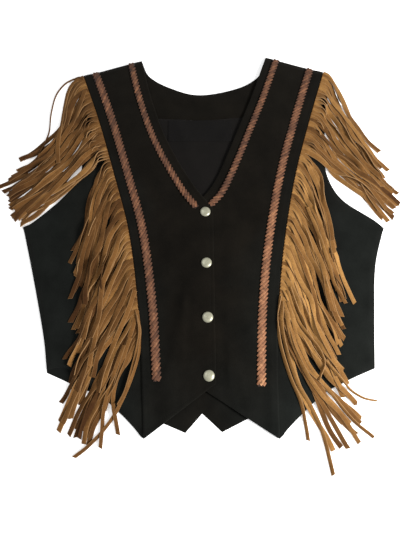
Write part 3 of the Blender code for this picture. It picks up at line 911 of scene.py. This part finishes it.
def braid_look():
    """Red-brown laces, with painted shade where they dip and a painted highlight where they stand high.
    """
    values = {"Roughness": 0.7, "Specular IOR Level": 0.3, "Sheen Weight": 0.06}
    made, tree, shader = look("braid_laces", values)
    tone = attribute(tree, "tone")
    stops = [
        (0.05, (0.010, 0.004, 0.0025)),
        (0.35, (0.085, 0.033, 0.016)),
        (0.65, (0.23, 0.098, 0.047)),
        (0.9, (0.38, 0.19, 0.095)),
    ]
    base = ramp(tree, tone, stops)
    grain = noise(tree, 270.0, 4.0, 0.75)
    stops = [(0.36, (0.45, 0.47, 0.42)), (0.5, (1.0, 0.95, 0.9)), (0.66, (1.5, 1.65, 1.6))]
    shade = ramp(tree, grain, stops)
    tree.links.new(mix(tree, "MULTIPLY", 1.0, base, shade), shader.inputs["Base Color"])
    bump(tree, shader, grain, 0.0002, 0.5)
    return made


def woven_look(name, dark, light, roughness, size):
    """A plain weave."""
    values = {"Roughness": roughness, "Specular IOR Level": 0.07, "Sheen Weight": 0.03}
    made, tree, shader = look(name, values)
    waves = []
    for direction in ("X", "Y"):
        place = node(tree, "ShaderNodeTexCoord")
        wave = node(tree, "ShaderNodeTexWave", wave_type="BANDS", Scale=size)
        wave.bands_direction = direction
        wave.inputs["Distortion"].default_value = 0.6
        tree.links.new(place.outputs["Object"], wave.inputs["Vector"])
        waves.append((wave.outputs["Fac"], 0.5))
    weave = add_sources(tree, waves)
    mixed = add_sources(tree, [(weave, 0.5), (noise(tree, 30.0, 3.0), 0.5)])
    tree.links.new(ramp(tree, mixed, [(0.3, dark), (0.7, light)]), shader.inputs["Base Color"])
    bump(tree, shader, weave, 0.0002, 0.5)
    return made


def snap_look():
    """Matt metal with a cloudy tone."""
    values = {"Metallic": 0.45, "Specular IOR Level": 0.5, "Coat Weight": 0.15, "Coat Roughness": 0.25}
    made, tree, shader = look("snap_pearl", values)
    stops = [(0.3, (0.28, 0.275, 0.20)), (0.7, (0.39, 0.385, 0.29))]
    cloudy = ramp(tree, noise(tree, 300.0, 3.0), stops)
    tree.links.new(cloudy, shader.inputs["Base Color"])
    fine = ramp(tree, noise(tree, 900.0), [(0.3, (0.3, 0.3, 0.3)), (0.7, (0.44, 0.44, 0.44))])
    tree.links.new(fine, shader.inputs["Roughness"])
    return made


def plain_look(name, colour, roughness):
    made, tree, shader = look(name, {"Roughness": roughness, "Specular IOR Level": 0.06})
    stops = [(place, tuple(part * c for c in colour)) for place, part in ((0.3, 0.8), (0.7, 1.2))]
    grain = ramp(tree, noise(tree, 500.0), stops)
    tree.links.new(grain, shader.inputs["Base Color"])
    return made


# Pieces


def stitches(name, rows, look_made):
    """Short threads along rows of points that lie on the cloth."""
    vertices, faces = [], []
    upward = np.array((0, 0, 1.0))
    span = STITCH_PITCH * STITCH_HALF
    for row in rows:
        for place in np.arange(STITCH_PITCH, lengths(row)[-1] - STITCH_PITCH, STITCH_PITCH):
            start, end = points_at(row, (place - span, place + span))
            run = unit((end - start)[None])[0]
            lateral = unit(np.array([(-run[1], run[0], 0.0)]))[0]
            faces += tube_faces(len(vertices), len(STITCH_SECTIONS), STITCH_SIDES)
            for part, size, sink in STITCH_SECTIONS:
                middle = start + (end - start) * part + (0, 0, sink)
                for k in range(STITCH_SIDES):
                    angle = 2 * math.pi * k / STITCH_SIDES
                    offset = lateral * math.cos(angle) + upward * math.sin(angle)
                    vertices.append(middle + offset * STITCH_RADIUS * size)
    return add_mesh(name, vertices, faces, look_made)


def stitch_rows(name, side, insets, top, toward, look_made):
    """Stitches at an inset from some of a panel's edges, on its top."""
    rows = []
    for key, inset in insets.items():
        line = inset_line(LINES[side][key], inset, toward)
        rows.append(on_surface(line, top(line, side)))
    return stitches(name, rows, look_made)


def center_top(points, side):
    edge = from_edges(points, side, ("seam", "shoulder", "neck", "placket", "low"))
    return center_height(points, side) + rim(edge, WALL)


def side_top(points, side):
    edge = from_edges(points, side, ("outer", "shoulder"))
    return front_height(points, side) + rim(edge, WALL)


def on_surface(plan, heights):
    return np.column_stack([plan, heights])


def inset_line(line, amount, toward):
    """A line moved by amount to the side where the point toward lies."""
    line = dense(line)
    normal = normals(line)
    sign = np.sign(((np.array(toward, float) - line) * normal).sum(1).mean())
    moved = line + normal * sign * amount
    keep = distance(moved, line) > amount * 0.97
    return moved[keep]


def build_panel(name, plan, side, under, top, look_made):
    """A front's panel between two heights over its plan, and the grid of its upper side."""
    flat = plan.reshape(-1, 2)
    shape = (*plan.shape[:2], 3)
    low = on_surface(flat, under(flat, side)).reshape(shape)
    high = on_surface(flat, top(flat, side)).reshape(shape)
    made = add_mesh(name + "_suede", *grid_shell(low, high), look_made)
    return dress(made, name), high


def braid(name, line, width, look_made):
    """Laces that cross a narrow band on a slant, along a line on the cloth."""
    own = lengths(line[:, :2])
    total = own[-1]
    across = normals(line)
    random = np.random.default_rng(len(name))
    swing = width / 2 - LACE_INSET
    reach = LACE_SLANT * swing
    half_lace = LACE_FILL * LACE_PITCH * math.sin(math.atan(2 / LACE_SLANT)) / 2
    angles = 2 * math.pi * (np.arange(LACE_SIDES) + 0.5) / LACE_SIDES
    part = np.linspace(0, 1, LACE_RINGS)
    vertices, faces, tones = [], [], []
    for start in np.arange(-reach, total, LACE_PITCH):
        along = start + reach * part
        # painted light: the tone runs from the braid's top to its foot
        tone = np.interp(start, (0, total), BRAID_TONE[name]) + random.normal(0, LACE_UNEVEN)
        on_line = (along > LACE_END) & (along < total - LACE_END)
        if on_line.sum() < LACE_FEWEST:
            continue
        along, bow = along[on_line], part[on_line]
        center = points_at(line, along)
        shift = read_rows(along, own, across) * (swing * (1 - 2 * bow))[:, None]
        plan = center[:, :2] + shift
        run = unit(np.gradient(plan, axis=0))
        rise = np.sin(math.pi * bow) ** LACE_ARCH
        lateral = np.stack([-run[:, 1], run[:, 0]], axis=1)
        lateral *= (LACE_NARROW + (1 - LACE_NARROW) * rise)[:, None]
        height = center[:, 2] + GAP + BAND_WALL + LACE_RISE * rise
        faces += tube_faces(len(vertices), len(plan), LACE_SIDES)
        for i, place in enumerate(plan):
            for angle in angles:
                side_move = lateral[i] * math.cos(angle) * half_lace
                vertices.append((*(place + side_move), height[i] + LACE_WALL * math.sin(angle)))
                # painted light and shade: lighter on a lace's top and where it stands high, darker
                # underneath
                tones.append(tone + LACE_PAINTED_HIGHLIGHT * rise[i] + LACE_PAINTED_SHADING * math.sin(angle))
    # The band under the laces, dark with painted shade between them.
    half = width / 2 - BAND_INSET
    corners = ((-half, 0.0), (half, 0.0), (half, BAND_WALL), (-half, BAND_WALL))
    center = dense(line)
    faces += tube_faces(len(vertices), len(center), len(corners))
    for (*place, height), normal in zip(center, normals(center)):
        for shift, up in corners:
            vertices.append((*(place + normal * shift), height + GAP + up))
            tones.append(BAND_TONE)
    made = add_mesh(name + "_laces", vertices, faces, look_made, values={"tone": tones})
    dress(made, name)


def braid_lines(side):
    """The middle lines of both braids of a front, on its top."""
    lines = LINES[side]
    upper, lower = side_rows(side)
    seam, front, across, _ = across_rows(side, upper, lower)
    skew = abs((across * normals(seam)).sum(1))
    yoke = seam + across * (sum(YOKE_BRAID[side]) / 2 / skew)[:, None]
    keep = lengths(lines["seam"])[-1] - YOKE_STOP[side]
    yoke = dense(yoke, FINE_STEP)
    yoke = yoke[lengths(yoke) < keep]
    top_count = len(upper)
    neck_front = front[:top_count]
    skew = abs((across[:top_count] * normals(neck_front)).sum(1))
    neck = neck_front - across[:top_count] * (sum(NECK_BRAID) / 2 / skew)[:, None]
    neck = dense(neck, FINE_STEP)
    neck = neck[lengths(neck) < lengths(neck)[-1] - NECK_STOP[side]]
    ahead = (neck[-1] - neck[-3]) / np.linalg.norm(neck[-1] - neck[-3])
    if NECK_PAST[side]:
        neck = np.vstack([neck, neck[-1] + ahead * NECK_PAST[side]])
    return [on_surface(line, center_top(line, side)) for line in (yoke, neck)]


# Fringe: strands are laid one after another on what lies under them


class Pile:
    """Heights over the floor on a grid of millimetre cells."""

    def __init__(self, low, high):
        self.low = np.array(low, float)
        self.size = (np.array(high) - self.low).astype(int) + 1
        self.height = np.zeros(self.size)

    def cells(self, points):
        return tuple(np.clip((points - self.low).round().astype(int), 0, self.size - 1).T)

    def cover(self, plan, heights):
        cells = self.cells(plan)
        np.maximum.at(self.height, cells, heights)

    def at(self, points):
        return self.height[self.cells(points)]


def lay_floor(side):
    """The pile before the first strand: the floor, the back's edge and the side panel."""
    lines = LINES[side]
    lows, highs = PILE_BOX[side]
    pile = Pile(lows, highs)
    spans = [np.arange(low, high + 1, PILE_POINTS) for low, high in zip(lows, highs)]
    x, y = np.meshgrid(*spans, indexing="ij")
    points = np.stack([x.ravel(), y.ravel()], axis=1).astype(float)
    outline = np.vstack([lines["outer"], lines["seam"][::-1]])
    near = inside(points, outline) | (distance(points, lines["outer"]) < PILE_MARGIN)
    points = points[near]
    heights = side_top(points, side)
    for shift in ((0, 0), (1, 0), (0, 1), (1, 1), (-1, 0), (0, -1), (-1, -1)):
        pile.cover(points + shift, heights)
    return pile


def fall_at(side, along):
    """The four leans and the reach of the strand whose root lies there on the seam."""
    rows = np.array(FALLS[side], float)
    upper = rows[:, 0] < GROUP_SPLIT[side]
    group = rows[upper] if along < GROUP_SPLIT[side] else rows[~upper]
    return np.array([np.interp(along, group[:, 0], group[:, k]) for k in range(1, 6)])


def strand_line(root, outward, leans, reach, side, turn, waves):
    """One strand's plan points, close together, from the strip to its tip."""
    count = int(reach / PLAN_STEP)
    part = (np.arange(count) + 0.5) / count
    lean = averaged(np.interp(part, (0, 1 / 3, 2 / 3, 1), leans), LEAN_MEAN)
    for size, wave, phase in waves:
        lean = lean + size * np.sin(2 * math.pi * part * reach / wave + phase) * ease(part * 4)
    first = math.degrees(math.atan2(OUTWARD[side] * outward[0], -outward[1]))
    lean = first + (lean - first) * ease(TURN_START + part * reach / turn)
    angle = np.radians(lean)
    heading = np.stack([OUTWARD[side] * np.sin(angle), -np.cos(angle)], axis=1)
    return root + np.vstack([[0, 0], np.cumsum(heading * PLAN_STEP, axis=0)])


# A strand's section: across and up in parts of its width and wall, and how pale the side that starts
# at each point is: worn cut edges, with a painted highlight on the sides and upper borders
SECTION = (
    (-1.0, -0.5, 1.0),
    (-1.0, 0.3, 0.75),
    (-0.84, 0.5, 0.0),
    (0.0, 0.62, 0.0),
    (0.84, 0.5, 0.75),
    (1.0, 0.3, 1.0),
    (1.0, -0.5, 0.3),
    (0.0, -0.4, 0.3),
)


class Weave:
    """The points, faces and tones of one fringe while its strands are laid."""

    def __init__(self, side):
        self.side = side
        self.pile = lay_floor(side)
        self.random = np.random.default_rng(SEED[side])
        self.vertices, self.faces, self.tones, self.edges = [], [], [], []

    def add_loop(self, rings, tone, edge_wear_and_highlight):
        """A closed strand from its sections, each a ring of points, and how pale its sides are: wear and
        painted highlight.
        """
        sides = len(edge_wear_and_highlight)
        self.faces += tube_faces(len(self.vertices), len(rings), sides)
        self.edges += [*(list(edge_wear_and_highlight) * (len(rings) - 1)), 1.0, 1.0]
        for ring, tone_here in zip(rings, np.broadcast_to(tone, len(rings))):
            self.vertices.extend(ring)
            self.tones.extend([tone_here] * sides)

    def lay(self, plan, width, comb, twist, tone):
        """Lays one strand on the pile; comb and twist roll it, in degrees along its length."""
        half = width / 2
        own = lengths(plan)
        count = max(FEWEST_SECTIONS, int(own[-1] / SAMPLE))
        places = np.linspace(0, own[-1], count)
        center = points_at(plan, places)
        run = unit(np.gradient(center, axis=0))
        lateral = np.stack([run[:, 1], -run[:, 0]], axis=1) * -OUTWARD[self.side]
        spots = np.linspace(-half, half, SPOTS)
        slopes = np.linspace(-STEEPEST, STEEPEST, SLOPES)
        under = np.stack([self.pile.at(center + lateral * s) for s in spots], axis=1)
        rest = (under[:, None, :] - slopes[None, :, None] * spots).max(2)
        slope = averaged(slopes[(rest + SLOPE_COST * abs(slopes)).argmin(1)], LIE_MEAN)
        level = (under - slope[:, None] * spots).max(1)
        even = averaged(level, LIE_MEAN)
        level = np.maximum(level * LEVEL_PART + even * EVEN_PART, even * SAG)
        roll = np.arctan(slope) + np.radians(comb(places, own[-1]) + twist(places, own[-1]))
        lift = half * np.maximum(abs(np.sin(roll)) - abs(np.sin(np.arctan(slope))), 0.0)
        middle = level + lift + STRAND_WALL / 2 + LIE_ABOVE
        slant = self.random.uniform(-TIP_SLANT, TIP_SLANT)
        rings = []
        for i in range(count):
            across = np.array((*(lateral[i] * math.cos(roll[i])), math.sin(roll[i]))) * half
            up = np.array((*(lateral[i] * -math.sin(roll[i])), math.cos(roll[i]))) * STRAND_WALL
            ring = np.array([across * a + up * b for a, b, _ in SECTION])
            ring += (*center[i], middle[i])
            if i == count - 1:
                ring[:, :2] += run[i] * slant * half * np.array([[row[0]] for row in SECTION])
            ring[:, 2] = np.maximum(ring[:, 2], LOWEST)
            rings.append(ring)
        # Pale edges, partly wear and partly painted highlight, fainter on darker strands.
        edge_wear_and_highlight = [row[2] * min(1.0, EDGE_WEAR_AND_HIGHLIGHT_WITH_TONE * tone) for row in SECTION]
        self.add_loop(rings, tone - TIP_DARKER * ease(2 * places / own[-1] - 1), edge_wear_and_highlight)
        steps = np.arange(0, own[-1], COVER_STEP)
        steps = steps[steps > COVER_FROM]
        line = points_at(plan, steps)
        sides = read_rows(steps, places, lateral)
        top = np.interp(steps, places, level + STRAND_WALL)
        tilt = np.interp(steps, places, slope)
        for s in np.linspace(-half, half, COVER_LINES):
            self.pile.cover(line + sides * s, top + tilt * s)

    def strip(self):
        """The uncut strip that holds the strands' roots, beside the seam and under them."""
        seam = dense(LINES[self.side]["seam"])
        seam = seam[lengths(seam) < FRINGE_LENGTH[self.side]]
        normal = normals(seam)
        normal *= (np.sign(normal[:, 0]) * OUTWARD[self.side])[:, None]
        grid = []
        for shift, up in ((GAP, 0.0), (STRIP, 0.0), (STRIP, 1.0), (GAP, 1.0)):
            plan = seam + normal * shift
            grid.append(on_surface(plan, side_top(plan, self.side) + GAP + up * STRAND_WALL))
        tone = LAY_TONE[self.side][1] * STRIP_DARKER
        self.add_loop(list(np.stack(grid, axis=1)), tone, (0.0,) * len(grid))
        for part in np.linspace(0, 1, STRIP_LINES):
            edge = grid[3] + (grid[2] - grid[3]) * part
            edge = points_at(edge, np.arange(0, lengths(edge[:, :2])[-1], COVER_STEP))
            self.pile.cover(edge[:, :2], edge[:, 2])


def bump_roll(size, place, width):
    """A roll of a strand at one place along it."""
    return lambda along, total: size * np.exp(-(((along - place * total) / width) ** 2))


def even_roll(root, tip):
    """A roll of a strand that changes evenly from its root to its tip."""
    return lambda along, total: root + (tip - root) * along / total


def lay_mass(weave):
    """The strands along the seam, roughly from the lowest to the highest, the strays later."""
    side, random = weave.side, weave.random
    split, length = GROUP_SPLIT[side], FRINGE_LENGTH[side]
    pitch = length / STRANDS
    seam = dense(LINES[side]["seam"], ROOT_STEP)
    drawn = random.normal(0, 1, STRANDS + 2 * CLUMP)
    clump = np.convolve(drawn, np.ones(CLUMP) / CLUMP, mode="same")[CLUMP:-CLUMP]
    stray = random.random(STRANDS) < STRAYS
    order = np.arange(STRANDS) + random.normal(0, 1, STRANDS) * ORDER_MIX - stray * STRANDS / 4
    for number in np.argsort(-order):
        along = (number + 0.5) * pitch
        lower = along >= split
        root = points_at(seam, [along])[0]
        before, after = points_at(seam, [along - ROOT_SPAN, along + ROOT_SPAN])
        ahead = unit((after - before)[None])[0]
        outward = np.array((-ahead[1], ahead[0]))
        outward *= np.sign(outward[0]) * OUTWARD[side]
        *leans, reach = fall_at(side, along)
        wild = LOOSENESS[side][int(lower)] * (STRAY_WILDER if stray[number] else 1.0)
        leans = np.array(leans)
        leans += (clump[number] * CLUMP_LEAN + random.normal(0, LEAN_SPREADS[0])) * wild
        leans[1:] += random.normal(0, LEAN_SPREADS[1]) * wild
        leans[2:] += random.normal(0, LEAN_SPREADS[2]) * wild
        reach = reach + random.normal(0, REACH_SPREAD)
        waves = [[random.uniform(*span) for span in (*row, PHASES)] for row in WAVES]
        turn = TURN["lower" if lower else "upper"] * random.uniform(*TURN_RANGE)
        start = root + outward * (GAP + ROOT_IN)
        plan = strand_line(start, outward, leans, reach, side, turn, waves)
        if lower:
            combed = COMB_KEPT + (1 - COMB_KEPT) * np.exp(-(along - split) / COMB_FADE)
        else:
            combed = ease((along - COMB_START[side]) / COMB_EASE)
        roll = -random.uniform(*COMB_ROLLS) * combed * (random.random() < COMB_PART)
        comb = bump_roll(roll, random.uniform(*COMB_PLACES) / reach, random.uniform(*COMB_LENGTHS))
        if random.random() < TWIST_PART:
            roll = random.choice((-1, 1)) * random.uniform(*TWIST_ROLLS)
        else:
            roll = random.normal(0, TWIST_SPREAD)
        twist = bump_roll(roll, random.uniform(*TWIST_PLACES), random.uniform(*TWIST_LENGTHS))
        below = (along - split) / (length - split)
        mean = np.interp(below, (-SPLIT_STEP, 0.0, 1.0), LAY_TONE[side])
        tone = np.clip(random.normal(mean, TONE_SPREAD), *TONES)
        width = STRAND_WIDTH * random.uniform(*WIDTHS) * (1.0 if lower else UPPER_WIDER)
        weave.lay(plan, width, comb, twist, tone)


def fringe(side, look_made):
    """The strip, the mass of the strands and the loose ones, laid in this order."""
    weave = Weave(side)
    weave.strip()
    lay_mass(weave)
    for width, root_roll, tip_roll, tone, points in LOOSE[side]:
        plan = dense(smooth_curve(points), FINE_STEP)
        weave.lay(plan, width, even_roll(root_roll, tip_roll), even_roll(0, 0), tone)
    name = f"fringe_{side}"
    shape = weave.vertices, weave.faces
    own_values = {"tone": weave.tones}, {"edge": weave.edges}
    made = add_mesh(name + "_strands", *shape, look_made, STRAND_SHARP, *own_values)
    return dress(made, name)


def snap(number, center, bottom, look_made):
    """A domed cap with a rolled edge."""
    sides = SNAP_SIDES
    vertices = [(center[0], center[1], bottom)]
    for radius, height in SNAP_PROFILE[1:-1]:
        for k in range(sides):
            angle = 2 * math.pi * k / sides
            x = center[0] + math.cos(angle) * radius * SNAP_RADIUS
            y = center[1] + math.sin(angle) * radius * SNAP_RADIUS
            vertices.append((x, y, bottom + height * SNAP_HEIGHT))
    vertices.append((center[0], center[1], bottom + SNAP_HEIGHT))
    faces = []
    last = 1 + (len(SNAP_PROFILE) - 3) * sides
    for k in range(sides):
        m = (k + 1) % sides
        faces.append((0, 1 + m, 1 + k))
        for a in range(1, last, sides):
            faces.append((a + k, a + m, a + sides + m, a + sides + k))
        faces.append((last + k, last + m, len(vertices) - 1))
    made = add_mesh(f"snap_{number}_cap", vertices, faces, look_made, SNAP_SHARP)
    dress(made, f"snap_{number}")


def back_outline():
    sides = {}
    for side, lines in LINES.items():
        shift = OUTWARD[side] * BACK_SHOWS
        arm = dense(lines["armhole"], ARM_STEP) + (shift, 0)
        flank = dense(lines["side"], FLANK_STEP)[1:] + (shift / 2, 0)
        sides[side] = np.vstack([arm, flank])
    neck = dense(smooth_curve(BACK_NECK), NECK_STEP)
    hem = np.array(BACK_HEM, float)[::-1]
    return np.vstack([neck, sides["right"], hem, sides["left"][::-1]])


def facing_outline():
    neck = points_part(smooth_curve(BACK_NECK), np.linspace(*FACING_PART, FACING_POINTS))
    low = points_part(smooth_curve(FACING_LOW), np.linspace(1, 0, FACING_LOW_POINTS))
    down = np.array((0.0, -SHOULDER_INSET))
    out = np.array((FACING_SIDE, 0.0))
    right_side = np.array([neck[-1] + out + down, low[0] + out])
    left_side = np.array([low[-1] - out, neck[0] - out + down])
    return np.vstack([neck, right_side, low, left_side])


def lining_outline():
    """From the facing's lower edge to an inset from the back's outline, open at the hem."""
    facing = moved_out(facing_outline(), GAP)[FACING_POINTS:][::-1]
    whole = back_outline()
    lines = LINES["right"]
    neck = len(dense(smooth_curve(BACK_NECK), NECK_STEP))
    right = len(dense(lines["armhole"], ARM_STEP)) + len(dense(lines["side"], FLANK_STEP)) - 1
    start = neck + right
    without_hem = np.delete(whole, range(start, start + len(BACK_HEM)), axis=0)
    outer = moved_out(without_hem, -LINING_INSET)[neck + NECK_TRIM : -NECK_TRIM]
    return np.vstack([facing, outer])


def open_neck(points):
    """1 in the open V of the neck and 0 near and under the fronts."""
    left, right = LINES["left"]["neck"], LINES["right"]["neck"]
    within = inside(points, np.vstack([left, right[::-1]]))
    edge = np.minimum(distance(points, left), distance(points, right))
    return np.where(within, ease((edge - OPEN_FROM) / OPEN_EASE), 0.0)


def neck_lift(points):
    return ridges(points, NECK_CREASES) * open_neck(points)


def lay_sheet(name, outline, bottom, look_made, lift=None):
    """A flat piece of the back, on the floor or on the piece under it."""
    ending, cells, wall, slot = BACK_PIECES[name]
    shape = flat_shell(outline, cells, bottom, wall, lift)
    made = dress(add_mesh(f"{name}_{ending}", *shape, look_made), name)
    return made


def build_back(suede, lining, label_cloth):
    inside_back = WALL + GAP
    on_lining = inside_back + LINING_WALL + GAP
    left, right, low, high = LABEL
    label = np.array([(left, high), (right, high), (right, low), (left, low), (left, high)], float)
    back = lay_sheet("back", back_outline(), 0.0, suede)
    lay_sheet("back_neck_facing", facing_outline(), inside_back, suede, neck_lift)
    inner = lay_sheet("back_lining", lining_outline(), inside_back, lining, neck_lift)
    lay_sheet("neck_label", dense(label)[:-1], on_lining, label_cloth, neck_lift)
    return back, inner


def build_front(side, looks):
    suede, strands, laces, thread = looks
    name = f"front_{side}_"
    parts = (center_plan(side), side, center_height, center_top, suede)
    center, center_grid = build_panel(name + "center", *parts)
    plan = side_plan(side)
    outer, outer_grid = build_panel(name + "side", plan, side, front_height, side_top, suede)
    yoke, neck = braid_lines(side)
    braid(f"trim_yoke_{side}", yoke, YOKE_BRAID[side][1] - YOKE_BRAID[side][0], laces)
    braid(f"trim_neck_{side}", neck, NECK_BRAID[1] - NECK_BRAID[0], laces)
    hanging = fringe(side, strands)
    lines = LINES[side]
    inward = ((lines["neck"][0] + lines["seam"][-1]) / 2).tolist()
    parts = (side, CENTER_ROWS, center_top, inward, thread)
    seams = stitch_rows(name + "center_stitches", *parts)
    parts = (side, SIDE_ROWS, side_top, plan.reshape(-1, 2).mean(0), thread)
    more = stitch_rows(name + "side_stitches", *parts)


def light(name, place, size, power, colour):
    """A round light that shines at the origin."""
    data = bpy.data.lights.new(name, "AREA")
    data.shape = "DISK"
    data.size = size
    data.energy = power
    data.color = colour
    made = bpy.data.objects.new(name, data)
    made.location = place
    x, y, z = -np.array(place)
    tilt = math.acos(-z / np.linalg.norm((x, y, z)))
    made.rotation_euler = (tilt, 0.0, math.atan2(-x, y))
    bpy.context.scene.collection.objects.link(made)


def add_floor():
    wide = FLOOR_HALF
    corners = [(-wide, -wide, 0), (wide, -wide, 0), (wide, wide, 0), (-wide, wide, 0)]
    mesh = bpy.data.meshes.new("floor")
    mesh.from_pydata(corners, [], [(0, 1, 2, 3)])
    made, _, shader = look("floor_white", {"Roughness": 0.9, "Specular IOR Level": 0.1})
    shader.inputs["Base Color"].default_value = FLOOR_COLOUR
    shader.inputs["Emission Color"].default_value = WHITE
    shader.inputs["Emission Strength"].default_value = FLOOR_GLOW
    mesh.materials.append(made)
    floor = bpy.data.objects.new("floor", mesh)
    bpy.context.scene.collection.objects.link(floor)


def set_stage():
    """The floor, the sky, the lights and the camera."""
    add_floor()
    world = bpy.data.worlds.new("studio")
    world.use_nodes = True
    sky = world.node_tree.nodes["Background"]
    sky.inputs["Color"].default_value = WHITE
    sky.inputs["Strength"].default_value = SKY_STRENGTH
    bpy.context.scene.world = world
    for row in LIGHTS:
        light(*row)
    camera_data = bpy.data.cameras.new("camera")
    camera_data.lens = CAMERA_LENS
    camera_data.sensor_width = SENSOR_WIDTH
    camera = bpy.data.objects.new("camera", camera_data)
    camera.location = CAMERA_PLACE
    camera.rotation_euler = (math.radians(CAMERA_TILT), 0.0, 0.0)
    bpy.context.scene.collection.objects.link(camera)
    bpy.context.scene.camera = camera
    bpy.context.scene.view_settings.view_transform = "Standard"


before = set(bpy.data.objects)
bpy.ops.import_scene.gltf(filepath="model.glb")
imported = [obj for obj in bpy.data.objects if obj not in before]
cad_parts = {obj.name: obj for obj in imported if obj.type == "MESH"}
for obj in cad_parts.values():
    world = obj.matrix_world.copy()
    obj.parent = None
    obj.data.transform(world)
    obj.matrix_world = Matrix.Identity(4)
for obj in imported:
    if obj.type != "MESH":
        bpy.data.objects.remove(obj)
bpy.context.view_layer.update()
set_stage()
suede = suede_look()
lining = woven_look("lining_weave", (0.0028, 0.0024, 0.0021), (0.0060, 0.0050, 0.0044), 0.8, 700.0)
label_cloth = woven_look("label_satin", (0.0022, 0.0019, 0.0018), (0.0048, 0.0042, 0.0040), 0.7, 1200.0)
thread = plain_look("thread_black", (0.0065, 0.006, 0.0055), 0.7)
strands = strand_look()
laces = braid_look()
pearl = snap_look()
back, inner = build_back(suede, lining, label_cloth)
for side in EDGES:
    build_front(side, (suede, strands, laces, thread))
for number, part in enumerate(np.linspace(0, 1, SNAP_COUNT)):
    center = np.array(SNAP_FIRST) + (np.array(SNAP_LAST) - SNAP_FIRST) * part
    bottom = center_height(center[None], "left")[0] + WALL + GAP
    snap(number + 1, center, bottom, pearl)
